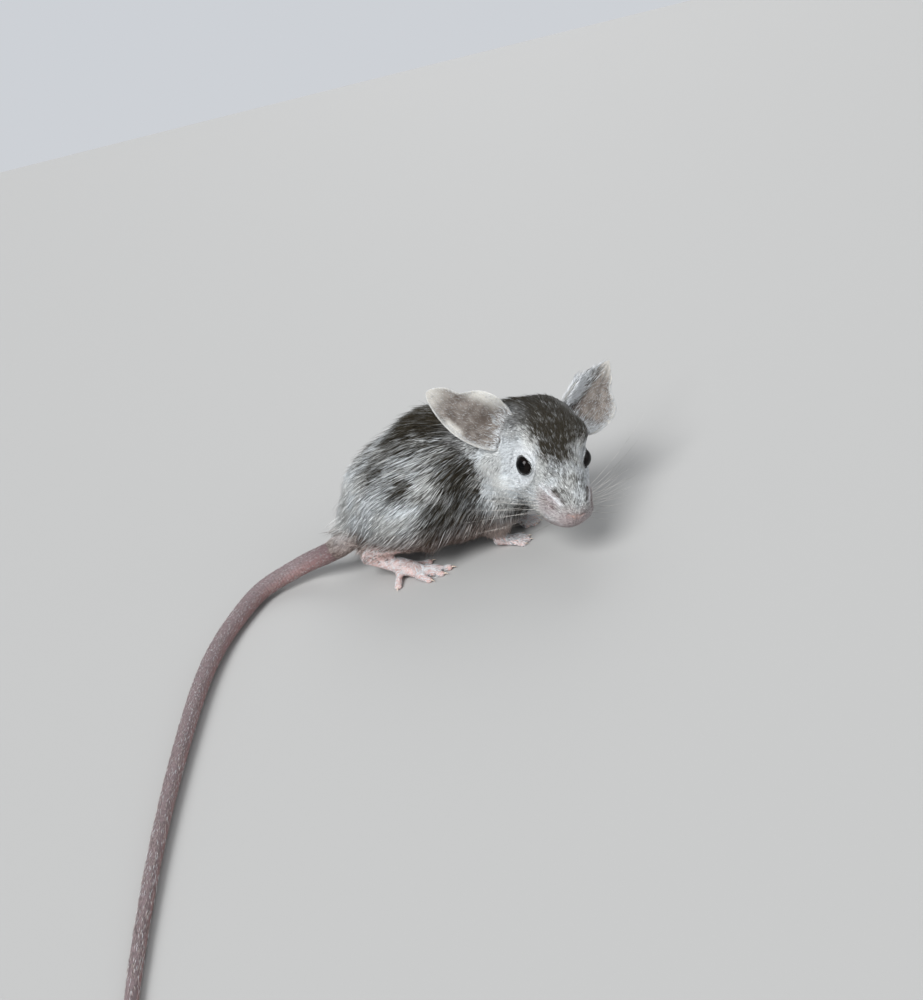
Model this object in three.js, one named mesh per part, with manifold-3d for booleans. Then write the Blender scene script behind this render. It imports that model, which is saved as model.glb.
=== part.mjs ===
import * as THREE from "three";
import { LoftGeometry } from "three/addons/geometries/LoftGeometry.js";
import { mergeVertices } from "three/addons/utils/BufferGeometryUtils.js";
import Module from "manifold-3d";

// A young grey fancy mouse at life size, crouched on the floor with its head turned to its right and its long
// tail laid out behind it. Every solid is the outer form of its part, out to the tips of the coat.
// Millimetres. +X runs along the back from rump to shoulders, +Y to the animal's left, +Z up from the floor.

const GAP = 0.3; // between neighbouring solids
const FLAT = 0.3; // how much of a foot or of the tail the floor cuts off, to leave a flat

// The trunk
const BACK = 26.4; // height of the back
const HAUNCH_WIDTH = 28;
const CHEST_WIDTH = 20.5;

// The head: the midpoint between the eyes, and how the head is turned (degrees)
const HEAD = { at: [17.5, -9.8, 15.4], yaw: -82, pitch: -4, roll: -12 };
const HEAD_WIDTH = 15.6; // over the cheeks
const MUZZLE_WIDTH = 7.6;
const NOSE_REACH = 11.2; // from the midpoint between the eyes
const EYE_RADIUS = 1.8;
const EYES_APART = 9.4; // between the centres of the eyes

// The ears
const EAR_LENGTH = 16.4; // with what is inside the head
const EAR_WIDTH = 11;
const EAR_THICK = 0.7;

// The tail
const TAIL_BASE = 2.0; // radius where it leaves the rump
const TAIL_TIP = 0.55;

const wasm = await Module();
wasm.setup();

const { lerp, degToRad, smoothstep } = THREE.MathUtils;
const vec = (p) => new THREE.Vector3(...p);
const SIDES = [["right", -1], ["left", 1]]; // and the sign of Y there

// ---- Frames

// What looks along yaw and pitch and leans by roll, as a frame of forward, left and up.
function facing({ at, yaw = 0, pitch = 0, roll = 0 }) {
  const turn = new THREE.Euler(degToRad(roll), degToRad(-pitch), degToRad(yaw), "ZYX");
  return new THREE.Matrix4().makeRotationFromEuler(turn).setPosition(...at);
}

const world = new THREE.Matrix4();
const headFrame = facing(HEAD);
const onHead = (p) => vec(p).applyMatrix4(headFrame);

// ---- Flesh: rounded forms that run into each other

// An ellipsoid, in a frame, pitched about its centre.
const flesh = (centre, radii, frame = world, pitch = 0) => {
  const inverse = frame.clone().multiply(facing({ at: centre, pitch })).invert();
  return { inverse, radii };
};

function distanceTo({ inverse, radii }, point) {
  const p = point.clone().applyMatrix4(inverse);
  const near = Math.hypot(p.x / radii[0], p.y / radii[1], p.z / radii[2]);
  const slope = Math.hypot(p.x / radii[0] ** 2, p.y / radii[1] ** 2, p.z / radii[2] ** 2);
  return slope < 1e-9 ? -Math.min(...radii) : (near * (near - 1)) / slope;
}

// The distance to a group of forms, each running into the others over the blend length.
const together = (forms, blend) => (point) =>
  forms.reduce((far, form) => {
    const next = distanceTo(form, point);
    const share = Math.max(blend - Math.abs(far - next), 0) / blend;
    return Math.min(far, next) - (share * share * blend) / 4;
  }, Infinity);

// How far from a point, in a direction, the surface of a body is, coming from outside.
function surfaceAlong(distance, from, way) {
  const step = 0.5;
  const at = (r) => distance(from.clone().addScaledVector(way, r));
  let high = 45;
  while (high > step && at(high - step) > 0) high -= step;
  let low = high - step;
  for (let n = 0; n < 16; n++) {
    const middle = (low + high) / 2;
    if (at(middle) > 0) high = middle;
    else low = middle;
  }
  return low;
}

// A ball drawn in onto a body, grown by some margin, from all round its centre.
function drawnOnto({ distance, centre, detail }, margin = 0) {
  const ball = new THREE.IcosahedronGeometry(1, detail);
  const at = ball.getAttribute("position");
  const from = vec(centre);
  const way = new THREE.Vector3();
  for (let i = 0; i < at.count; i++) {
    way.fromBufferAttribute(at, i);
    const reach = surfaceAlong((p) => distance(p) - margin, from, way);
    at.setXYZ(i, ...way.multiplyScalar(reach).add(from).toArray());
  }
  return solidOf(ball);
}

// ---- Solids

function solidOf(geometry) {
  const bare = new THREE.BufferGeometry().setIndex(geometry.index);
  bare.setAttribute("position", geometry.getAttribute("position"));
  const merged = mergeVertices(bare, 1e-4);
  const index = merged.index.array;
  const triVerts = [];
  for (let i = 0; i < index.length; i += 3) {
    const [a, b, c] = index.slice(i, i + 3);
    if (a !== b && b !== c && c !== a) triVerts.push(a, b, c);
  }
  return new wasm.Manifold(
    new wasm.Mesh({
      numProp: 3,
      vertProperties: merged.getAttribute("position").array,
      triVerts: new Uint32Array(triVerts),
    }),
  );
}

function geometryOf(solid) {
  const { numVert, numProp, vertProperties, triVerts } = solid.getMesh();
  const points = new Float32Array(numVert * 3);
  for (let i = 0; i < numVert; i++)
    points.set(vertProperties.subarray(i * numProp, i * numProp + 3), i * 3);
  return new THREE.BufferGeometry()
    .setAttribute("position", new THREE.BufferAttribute(points, 3))
    .setIndex(new THREE.BufferAttribute(triVerts, 1));
}

const joined = (solids) => solids.reduce((all, next) => all.add(next));

// A solid without the slivers that a cut can leave beside it.
const largest = (solid) => solid.decompose().sort((a, b) => b.volume() - a.volume())[0];

// The half of space beyond a plane, as a large block.
function beyond(point, normal) {
  const size = 400;
  const block = new THREE.BoxGeometry(size, size, size).translate(0, 0, size / 2);
  const turn = new THREE.Quaternion().setFromUnitVectors(new THREE.Vector3(0, 0, 1), normal);
  return solidOf(block.applyQuaternion(turn).translate(...point.toArray()));
}

// The two halves of space on either side of a thin cut: ahead of it, and behind it.
function halves({ at, towards }) {
  const normal = vec(towards).normalize();
  const shift = normal.clone().multiplyScalar(GAP / 2);
  return [beyond(vec(at).add(shift), normal), beyond(vec(at).sub(shift), normal.negate())];
}

const parted = (solid, cut) => halves(cut).map((half) => solid.intersect(half));

// What stands on the floor, with a flat on each foot.
const floor = beyond(new THREE.Vector3(), new THREE.Vector3(0, 0, -1));
const standing = (solid) => solid.subtract(floor);

// ---- Lofts

// A ring across a path, half as wide as r and half as high as h.
function ringAt(centre, along, r, h, sides) {
  const side = new THREE.Vector3(0, 0, 1).cross(along).normalize();
  const top = along.clone().cross(side);
  return Array.from({ length: sides }, (_, i) => {
    const a = (2 * Math.PI * i) / sides;
    const point = centre.clone().addScaledVector(side, r * Math.cos(a));
    return point.addScaledVector(top, h * Math.sin(a));
  });
}

// A limb with round ends through stops, each { at, r } or { at, r, h }.
function limb(stops, { sides = 10, steps = 2, capRings = 2 } = {}) {
  const path = new THREE.CatmullRomCurve3(stops.map((s) => vec(s.at)), false, "centripetal");
  const last = stops.length - 1;
  const size = (t, key) => {
    const k = Math.min(Math.floor(t * last), last - 1);
    const [a, b] = [stops[k], stops[k + 1]].map((s) => s[key] ?? s.r);
    return lerp(a, b, smoothstep(t * last - k, 0, 1));
  };
  const ring = (t, shift = 0, shrink = 1) => {
    const along = path.getTangent(t);
    const [r, h] = [size(t, "r"), size(t, "h")];
    const centre = path.getPoint(t).addScaledVector(along, shift * Math.min(r, h));
    return ringAt(centre, along, r * shrink, h * shrink, sides);
  };
  const cap = (t, sign) =>
    Array.from({ length: capRings }, (_, i) => {
      const a = ((Math.PI / 2) * (i + 1)) / (capRings + 0.4);
      return ring(t, sign * Math.sin(a), Math.cos(a));
    });
  const middle = Array.from({ length: last * steps + 1 }, (_, i) => ring(i / (last * steps)));
  const sections = [...cap(0, -1).reverse(), ...middle, ...cap(1, 1)];
  return solidOf(new LoftGeometry(sections, { capStart: true, capEnd: true }));
}

// ---- The trunk

const haunch = HAUNCH_WIDTH / 2;
const chest = CHEST_WIDTH / 2;
const neckForm = flesh([12.8, -1.8, 14.6], [7.2, 7.4, 8.0]);
const napeForm = flesh([10.6, -1.8, 18.2], [6.8, 6.4, 6.8]);
const breastForm = flesh([10, -2.4, 11.2], [6.6, 7.2, 6.6]);
const trunk = {
  distance: together(
    [
      flesh([-9.4, 0, 12.2], [10.6, 11.2, 9.2]), // rump
      flesh([-0.6, 0.2, BACK - 11.6], [11.6, 11.2, 11.6]), // loin
      flesh([7.4, -0.2, BACK - 12.6], [9.0, chest, 9.2]), // shoulders
      flesh([-0.5, -0.2, 8.7], [13.2, 10.9, 7.9]), // belly
      ...SIDES.flatMap(([, side]) => [
        flesh([-7.6, side * (haunch - 6.2), 12.4], [8.6, 6.2, 7.4]), // haunch
        flesh([6.8, side * (chest - 4.2) - 0.8, 10.4], [4.6, 4.2, 6.2]), // upper arm
      ]),
      flesh([-17, -1.8, 8.2], [5.6, 4.8, 4.6]), // root of the tail
      neckForm,
      napeForm,
      breastForm,
    ],
    3.2,
  ),
  centre: [-0.5, 0, 12.5],
  detail: 7,
};

// ---- The head

const cheek = HEAD_WIDTH / 2;
const muzzle = MUZZLE_WIDTH / 2;
const faceForms = SIDES.flatMap(([, side]) => [
  flesh([-2.2, side * 3.9, 3.4], [3.2, 2.0, 2.2], headFrame), // brow
  flesh([-4.2, side * (cheek - 3.8), -3.8], [5.6, 3.8, 4.8], headFrame),
  flesh([1.2, side * 3.0, -4.2], [4.8, 2.9, 3.4], headFrame), // on towards the muzzle
]);
const head = {
  distance: together(
    [
      flesh([-5.6, 0, 2.0], [8.0, cheek - 0.4, 7.1], headFrame), // cranium
      ...faceForms,
      flesh([1.8, 0, -0.9], [8.6, 3.9, 4.9], headFrame, -20), // bridge of the nose
      flesh([7.0, 0, -4.5], [4.2, muzzle, 3.5], headFrame), // muzzle
      flesh([NOSE_REACH - 1.3, 0, -4.0], [1.3, 1.4, 1.2], headFrame), // nose
      flesh([2.4, 0, -5.7], [7.2, 3.9, 2.7], headFrame), // jaw
      neckForm,
      napeForm,
      breastForm,
    ],
    2.6,
  ),
  centre: onHead([-1.5, 0, -1]).toArray(),
  detail: 8,
};

const eye = (side, margin = 0) => {
  const ball = new THREE.SphereGeometry(EYE_RADIUS + margin, 12, 8);
  return solidOf(ball.translate(...onHead([0.3, (side * EYES_APART) / 2, -0.15]).toArray()));
};

// ---- The ears: a leaf, cupped round its long axis, with its widest part low down

// Each ear's foot inside the head, where its length and its opening point, in the head's frame, how full its
// two edges are, how deep each dips below the tip, and how much narrower it is there. The two edges of an ear are listed by the way they
// lie across it: the crown's edge is the first on the right ear and the second on the left.
const EARS = {
  right: {
    foot: [-4.4, -5.7, 2.6],
    length: [-0.28, -0.84, 0.48],
    opening: [0.8, -0.2, 0.5],
    full: [0.98, 1.02],
    dip: [0.33, 0],
    taper: 0.55,
  },
  left: {
    foot: [-6.2, 4.2, 2.2],
    length: [-0.5, 0.67, 0.53],
    opening: [0.85, 0.1, 0.5],
    full: [1.32, 0.84],
    dip: [0.25, 0.05],
    taper: 0.82,
  },
};
const DIP_AT = 0.72; // of the ear's length

function ear({ foot, length, opening, full, dip, taper }) {
  const along = vec(length).normalize();
  const across = vec(opening).cross(along).normalize();
  const place = new THREE.Matrix4().makeBasis(along, across, along.clone().cross(across));
  const leaf = new THREE.SphereGeometry(1, 14, 9).rotateZ(-Math.PI / 2);
  const at = leaf.getAttribute("position");
  for (let i = 0; i < at.count; i++) {
    const up = (at.getX(i) + 1) / 2;
    const edge = at.getY(i) < 0 ? 0 : 1;
    const drawnIn = 1 - dip[edge] * Math.exp(-(((up - DIP_AT) / 0.11) ** 2));
    const out = at.getY(i) * (1 - taper * up * up) * full[edge] * drawnIn;
    const curl = lerp(1.1, 0.5, up);
    const cupped = EAR_WIDTH / 2 / curl;
    const lift = cupped * (1 - Math.cos(out * curl)) + (at.getZ(i) * EAR_THICK) / 2;
    at.setXYZ(i, EAR_LENGTH * up, cupped * Math.sin(out * curl), lift);
  }
  return solidOf(leaf.applyMatrix4(headFrame.clone().multiply(place.setPosition(...foot))));
}

// ---- The legs

// A toe or finger that arches from its root to its tip on the floor.
function toe(root, tip, r) {
  const knuckle = vec(root).lerp(vec(tip), 0.5);
  knuckle.z += 0.3;
  const stops = [{ at: root, r }, { at: knuckle.toArray(), r: 0.92 * r }, { at: tip, r: 0.72 * r }];
  return limb(stops, { sides: 5, steps: 1, capRings: 1 });
}

// A foot from its heel to its ball, which the floor flattens. Its toes are [root, tip], each so far ahead of
// the ball and so far outward.
function foot({ side, heel, ball, width, toes, toeRadius }) {
  const thick = 0.28 * width;
  const ballAt = new THREE.Vector3(...ball, thick - FLAT);
  const ahead = ballAt.clone().sub(vec(heel)).setZ(0).normalize();
  const outward = new THREE.Vector3(ahead.y, -ahead.x, 0).multiplyScalar(-side);
  const onSole = ([forward, out], z) => {
    const point = ballAt.clone().addScaledVector(ahead, forward).addScaledVector(outward, out);
    return point.setZ(z).toArray();
  };
  const instep = limb(
    [
      { at: heel, r: 0.38 * width },
      { at: vec(heel).lerp(ballAt, 0.5).toArray(), r: 0.42 * width, h: 0.34 * width },
      { at: ballAt.toArray(), r: 0.5 * width, h: thick },
    ],
    { sides: 8, steps: 1, capRings: 1 },
  );
  const tipHeight = 0.72 * toeRadius - FLAT / 2;
  const fan = toes.map(([root, tip]) =>
    toe(onSole(root, ballAt.z), onSole(tip, tipHeight), toeRadius),
  );
  return joined([instep, ...fan]);
}

const HIND_TOES = [
  [[-3.0, 1.0], [-2.8, 3.9]],
  [[-0.3, 1.3], [2.6, 2.9]],
  [[0.2, 0.5], [4.6, 1.4]],
  [[0.2, -0.4], [5.8, -0.3]],
  [[-1.4, -1.2], [1.8, -2.9]],
];
const FORE_TOES = [
  [[0, 0.9], [1.7, 1.7]],
  [[0.2, 0.3], [2.7, 0.7]],
  [[0.2, -0.3], [2.7, -0.5]],
  [[0, -0.9], [1.7, -1.6]],
];

// The limbs of each side: the shank down to the heel, and the forearm down to the wrist.
const LEGS = {
  right: {
    knee: [-6.5, -9.8, 7.6],
    calf: [-12.6, -9.0, 7.2],
    heel: [-17.0, -7.6, 4.9],
    ball: [-9.4, -9.4],
    elbow: [7.4, -7.0, 7.6],
    forearm: [6.2, -7.4, 4.6],
    wrist: [5.9, -6.9, 1.6],
    palm: [8.1, -6.9],
  },
  left: {
    knee: [-6.5, 9.8, 7.6],
    calf: [-12.6, 9.2, 7.2],
    heel: [-16.8, 8.4, 4.6],
    ball: [-9.0, 10.4],
    elbow: [10.0, 4.6, 7.6],
    forearm: [9.4, 3.0, 4.6],
    wrist: [9.4, 1.2, 1.6],
    palm: [11.2, -0.4],
  },
};

function hindLeg(side, { knee, calf, heel, ball }) {
  const shank = limb([{ at: knee, r: 3.2 }, { at: calf, r: 2.7 }, { at: heel, r: 1.75 }]);
  const paw = foot({ side, heel, ball, width: 4.2, toes: HIND_TOES, toeRadius: 0.62 });
  return standing(shank.add(paw));
}

function foreLeg(side, { elbow, forearm, wrist, palm }) {
  const arm = limb([{ at: elbow, r: 3.0 }, { at: forearm, r: 2.1 }, { at: wrist, r: 1.35 }]);
  const paw = foot({ side, heel: wrist, ball: palm, width: 3.0, toes: FORE_TOES, toeRadius: 0.56 });
  return standing(arm.add(paw));
}

// ---- The tail

const tailPath = new THREE.CatmullRomCurve3(
  [
    [-15.5, -1, 9.0],
    [-21.6, -4.2, 6.4],
    [-29.7, -2.4, 3.4],
    [-37, -5.0, 2.0],
    [-41.6, -13.2, 1.5],
    [-44.3, -24, 1.5],
    [-45.5, -44, 1.3],
    [-45.2, -64, 1.0],
    [-43.6, -82, 0.6],
    [-41, -94, 0.4],
  ].map(vec),
);
const TAIL_PARTS = 4;
const TAIL_LENGTH = tailPath.getLength();

function tailPart(number) {
  const rings = 8;
  const half = GAP / 2 / TAIL_LENGTH;
  const [from, to] = [number / TAIL_PARTS + half, (number + 1) / TAIL_PARTS - half];
  const sections = Array.from({ length: rings + 1 }, (_, i) => {
    const t = lerp(from, to, i / rings);
    const r = lerp(TAIL_BASE, TAIL_TIP, t ** 0.85);
    const centre = tailPath.getPointAt(t);
    return ringAt(centre.setZ(Math.max(centre.z, r - FLAT)), tailPath.getTangentAt(t), r, r, 8);
  });
  return standing(solidOf(new LoftGeometry(sections, { capStart: true, capEnd: true })));
}

// ---- The body, parted into its nodes

// A round piece of the flank: centre and radii seen from the side, and how far in it goes.
function flank(side, { centre: [x, z], radii: [rx, rz], inner }, margin = 0) {
  const depth = 20;
  const round = new THREE.CylinderGeometry(1, 1, depth, 18);
  round.scale(rx + margin, 1, rz + margin);
  return solidOf(round.translate(x, side * (inner - margin + depth / 2), z));
}

const CUTS = {
  head: { at: [14.2, -3.4, 15], towards: [0.56, -0.72, 0.4] },
  neck: { at: [12.2, -2, 15], towards: [0.95, -0.3, 0.1] },
  chest: { at: [2.2, 0, 0], towards: [1, 0, 0] },
  midriff: { at: [-5.5, 0, 0], towards: [1, 0, 0] },
  ankle: { at: [-15.4, 0, 4.3], towards: [-0.1, 0, -1] },
  wrist: { at: [0, 0, 2.7], towards: [0, 0, -1] },
};
const THIGH = { centre: [-7.4, 12.4], radii: [7.2, 6.4], inner: 4 };
const UPPER_ARM = { centre: [6.9, 10.6], radii: [3.9, 4.7], inner: 4.2 };

const nodes = {};
const body = standing(drawnOnto(trunk).add(drawnOnto(head)));
const around = drawnOnto(trunk, GAP).add(drawnOnto(head, GAP));
const eyeSockets = joined(SIDES.map(([, side]) => eye(side, GAP)));

const [headPart, belowHead] = parted(body.subtract(eyeSockets), CUTS.head);
nodes.head = headPart;
const behindNeck = halves(CUTS.neck)[1];
let rest = belowHead;
for (const [name, side] of SIDES)
  for (const [part, region] of [["thigh", THIGH], ["upper_arm", UPPER_ARM]]) {
    nodes[`${part}_${name}`] = rest.intersect(flank(side, region).intersect(behindNeck));
    rest = rest.subtract(flank(side, region, GAP).intersect(behindNeck));
  }
let trunkPart;
[nodes.neck, trunkPart] = parted(rest, CUTS.neck);
[nodes.chest, trunkPart] = parted(trunkPart, CUTS.chest);
[nodes.midriff, nodes.rump] = parted(trunkPart, CUTS.midriff);

for (const [name, side] of SIDES) {
  nodes[`eye_${name}`] = eye(side);
  nodes[`ear_${name}`] = ear(EARS[name]).subtract(around);
  const hind = hindLeg(side, LEGS[name]).subtract(around);
  [nodes[`hind_foot_${name}`], nodes[`shank_${name}`]] = parted(hind, CUTS.ankle);
  const fore = foreLeg(side, LEGS[name]).subtract(around);
  [nodes[`fore_foot_${name}`], nodes[`forearm_${name}`]] = parted(fore, CUTS.wrist);
}
for (let i = 0; i < TAIL_PARTS; i++) nodes[`tail_${i + 1}`] = tailPart(i).subtract(around);

// ---- The group

const COLOURS = {
  eye: 0x08080a,
  ear: 0xb3a8a2,
  tail: 0x8f7f80,
  hind_foot: 0xe3c4c0,
  fore_foot: 0xe3c4c0,
};
const GREY = 0x77736e;

const group = new THREE.Group();
for (const [name, solid] of Object.entries(nodes)) {
  const kind = name.replace(/_(left|right|\d)$/, "");
  const shiny = kind === "eye";
  const material = new THREE.MeshStandardMaterial({
    color: COLOURS[kind] ?? GREY,
    roughness: shiny ? 0.05 : 0.8,
    metalness: 0,
  });
  const mesh = new THREE.Mesh(geometryOf(largest(solid)), material);
  mesh.name = name;
  group.add(mesh);
}

// The origin is at the middle of the floor under the whole animal.
const middle = new THREE.Box3().setFromObject(group).getCenter(new THREE.Vector3());
for (const mesh of group.children) mesh.geometry.translate(-middle.x, -middle.y, 0);

export default group;
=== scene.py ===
"""A young grey mouse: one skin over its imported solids, a coat of solid tufts, eyes, claws and whiskers.

All sizes in the tables below are millimetres in the body's own frame: +X runs along the back from rump to
shoulders, +Y to the animal's left, +Z up from the floor. The head has a frame of its own, with +X out
through the nose. Meshes are turned into metres where they are made.
"""

import math
import re

import bmesh
import bpy
import numpy as np
from bpy.props import FloatProperty, FloatVectorProperty, IntProperty, PointerProperty
from bpy.types import Operator, Panel, PropertyGroup
from mathutils import Euler, Matrix, Vector
from mathutils.bvhtree import BVHTree
from mathutils.kdtree import KDTree


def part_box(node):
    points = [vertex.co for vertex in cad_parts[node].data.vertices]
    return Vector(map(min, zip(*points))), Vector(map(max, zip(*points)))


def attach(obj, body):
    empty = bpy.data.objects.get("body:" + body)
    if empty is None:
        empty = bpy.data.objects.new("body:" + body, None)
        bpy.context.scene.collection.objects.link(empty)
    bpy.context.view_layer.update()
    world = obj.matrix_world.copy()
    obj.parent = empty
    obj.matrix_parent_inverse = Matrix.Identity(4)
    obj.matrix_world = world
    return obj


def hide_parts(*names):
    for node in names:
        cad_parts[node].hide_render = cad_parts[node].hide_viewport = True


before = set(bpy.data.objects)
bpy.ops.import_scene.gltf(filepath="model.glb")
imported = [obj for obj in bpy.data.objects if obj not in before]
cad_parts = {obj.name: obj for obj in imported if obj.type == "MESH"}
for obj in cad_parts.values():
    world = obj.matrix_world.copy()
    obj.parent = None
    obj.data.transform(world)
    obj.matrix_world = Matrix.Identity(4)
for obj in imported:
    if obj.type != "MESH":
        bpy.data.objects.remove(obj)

bl_info = {
    "name": "Crouching Mouse",
    "version": (1, 0, 0),
    "blender": (4, 5, 0),
    "location": "3D View > Sidebar > Mouse",
    "description": "Skin, coat, eyes, claws and whiskers of a young grey mouse, over its packed solids",
    "category": "Add Mesh",
}

MM = 0.001
SIDES = {"right": -1, "left": 1}

# ---- Where things are

# How the head is turned against the body: its lean, its nose down, and its turn to the right.
HEAD_AXES = np.array(Euler([math.radians(a) for a in (-12, 4, -82)]).to_matrix())
HEAD_FROM_BODY = np.array([17.5, -9.8, 15.4])
EYES_ON_HEAD = np.array([0.3, 0, -0.15])  # the midpoint of the eyeballs


def middle_of(node):
    """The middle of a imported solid's box, in row-frame metres."""
    low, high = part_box(node)
    return np.array(low + high) / 2


eyes_middle = sum(middle_of(f"eye_{side}") for side in SIDES) / 2 / MM
# The body frame's origin, in the row frame.
BODY_AT = eyes_middle - HEAD_AXES @ EYES_ON_HEAD - HEAD_FROM_BODY


def to_row(points):
    """Row-frame metres for body-frame millimetres."""
    return (np.asarray(points, float) + BODY_AT) * MM


def to_body(places):
    """Body-frame millimetres for row-frame metres."""
    return np.asarray(places, float) / MM - BODY_AT


def from_head(points):
    """Body-frame points for points in the head's frame."""
    return np.asarray(points, float) @ HEAD_AXES.T + HEAD_FROM_BODY


def to_head(points):
    """Points in the head's frame, for body-frame points."""
    return (np.asarray(points, float) - HEAD_FROM_BODY) @ HEAD_AXES


EYE_RADIUS = (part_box("eye_right")[1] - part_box("eye_right")[0]).z / 2 / MM
EYES = {side: to_body(middle_of(f"eye_{side}")) for side in SIDES}
EYE_LOOKS = {side: HEAD_AXES @ np.array([0.42, 0.9 * sign, 0.1]) for side, sign in SIDES.items()}

# The feet: heel, ball, and their toes as (root, tip), each so far ahead of the ball and so far outward.
FEET = {
    "hind_foot_right": ((-17.0, -7.6, 4.9), (-9.4, -9.4)),
    "hind_foot_left": ((-16.8, 8.4, 4.6), (-9.0, 10.4)),
    "fore_foot_right": ((5.9, -6.9, 1.6), (8.1, -6.9)),
    "fore_foot_left": ((9.4, 1.2, 1.6), (11.2, -0.4)),
}
TOES = {
    "hind": [
        ((-3.0, 1.0), (-2.8, 3.9)),
        ((-0.3, 1.3), (2.6, 2.9)),
        ((0.2, 0.5), (4.6, 1.4)),
        ((0.2, -0.4), (5.8, -0.3)),
        ((-1.4, -1.2), (1.8, -2.9)),
    ],
    "fore": [
        ((0, 0.9), (1.7, 1.7)),
        ((0.2, 0.3), (2.7, 0.7)),
        ((0.2, -0.3), (2.7, -0.5)),
        ((0, -0.9), (1.7, -1.6)),
    ],
}
TOE_RADIUS = {"hind": 0.68, "fore": 0.6}

# The tail, from inside the rump to its tip.
TAIL_PATH = [
    (-15.5, -1, 9.0),
    (-21.6, -4.2, 6.4),
    (-29.7, -2.4, 3.4),
    (-37, -5.0, 2.0),
    (-41.6, -13.2, 1.5),
    (-44.3, -24, 1.5),
    (-45.5, -44, 1.3),
    (-45.2, -64, 1.0),
    (-43.6, -82, 0.6),
    (-41, -94, 0.4),
]
TAIL_RADII = (2.0, 0.55)
TAIL_TAPER = 0.85
TAIL_FLAT = 0.3  # how much of it the floor cuts off
TAIL_STEPS = 400

# The ears, in the head's frame: foot, the way its length and its opening point, how full each edge is, how
# deep each edge dips below the tip, and how much narrower the ear is there. The crown's edge is the first on
# the right ear and the second on the left.
EARS = {
    "right": {
        "foot": (-4.4, -5.7, 2.6),
        "length": (-0.28, -0.84, 0.48),
        "opening": (0.8, -0.2, 0.5),
        "full": (0.98, 1.02),
        "dip": (0.33, 0),
        "taper": 0.55,
    },
    "left": {
        "foot": (-6.2, 4.2, 2.2),
        "length": (-0.5, 0.67, 0.53),
        "opening": (0.85, 0.1, 0.5),
        "full": (1.32, 0.84),
        "dip": (0.25, 0.05),
        "taper": 0.82,
    },
}
EAR_LENGTH = 16.4
EAR_WIDTH = 11.0
EAR_DIP_AT = 0.72

# The face, in the head's frame: the nose, the mouth's line on the left and the cleft between them. A nostril
# is given from the nose.
NOSE = np.array([10.35, 0, -4.45])
NOSTRIL = [(0.95, 0.5, 0.0), (0.7, 0.85, 0.22), (0.3, 1.15, 0.3), (-0.1, 1.38, 0.05), (-0.4, 1.4, -0.45)]
MOUTH = [(5.2, 3.4, -6.2), (6.6, 3.0, -6.9), (8.3, 1.9, -6.9), (9.6, 0.7, -6.5), (9.95, 0, -6.2)]
CLEFT = [NOSE + [1, 0, 0.5], NOSE + [1, 0, -0.6], (10.7, 0, -5.3), (10.1, 0, -6.1)]
# The pale crease above each whisker pad and the dark spots on both sides of it, each on the left.
CREASE = [(6.1, 3.9, -1.7), (7.7, 3.45, -2.0), (9.2, 2.95, -2.4), (10.5, 2.2, -2.9)]
SPOTS = [
    (8.9, 2.6, -1.7),
    (9.7, 2.3, -2.0),
    (10.5, 1.9, -2.6),
    (7.9, 3.8, -3.1),
    (8.8, 3.6, -3.5),
    (9.8, 3.1, -3.8),
]
# The whitest fur beside each ear, along the ear, across it and out of its hollow.
EAR_WHITES = {"left": (3.6, 2.2, 1.2), "right": (3.2, -3.4, 1.0)}
# Where the fur would hide a hind leg, on the left.
OVER_LEG = [(-18.5, 7.4, 9.0), (-15, 10.5, 7.0), (-9, 12, 5)]
HEAD_MIDDLE = (-1, 0, 0)

# How deep the coat is on each part of the body, and how nearly bare each part of a limb is.
COAT_DEPTH = {
    "head": 1.05,
    "neck": 1.5,
    "chest": 1.8,
    "midriff": 1.9,
    "rump": 1.8,
    "thigh": 1.8,
    "upper_arm": 1.2,
    "forearm": 0.45,
    "shank": 0.5,
    "hind_foot": 0.08,
    "fore_foot": 0.06,
}
LIMB_BARE = {"hind_foot": 1.0, "fore_foot": 1.0, "shank": 0.85, "forearm": 1.0}
FLESH = sorted(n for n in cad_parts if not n.startswith(("eye", "ear", "tail")))


def kind_of(node):
    """A node's name without its side or number."""
    return re.sub(r"_(left|right|\d)$", "", node)


# ---- Sums on arrays


def unit(vectors):
    """Each vector at length 1."""
    vectors = np.asarray(vectors, float)
    return vectors / np.maximum(np.linalg.norm(vectors, axis=-1, keepdims=True), 1e-9)


def ramp(values, start, end):
    """0 before start, 1 after end, and smooth between."""
    t = np.clip((np.asarray(values, float) - start) / (end - start), 0, 1)
    return t * t * (3 - 2 * t)


def hump(values, centre, spread):
    """1 at a centre, falling off on both sides."""
    return np.exp(-(((np.asarray(values, float) - centre) / spread) ** 2))


def mound(points, centre, spread):
    """1 at a centre, falling off around it."""
    return np.exp(-(((points - np.asarray(centre, float)) / spread) ** 2).sum(-1))


def eased(values, edges, share, rounds):
    """Each vertex's value drawn towards its neighbours', share by share."""
    values = np.array(values, float).reshape(len(values), -1)
    a, b = edges.T
    count = len(values)
    weight = np.maximum(np.bincount(edges.ravel(), minlength=count), 1)
    share = np.broadcast_to(np.asarray(share, float), (count,))
    for _ in range(rounds):
        for column in values.T:
            around = np.bincount(a, column[b], count) + np.bincount(b, column[a], count)
            column += share * (around / weight - column)
    return values


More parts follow.
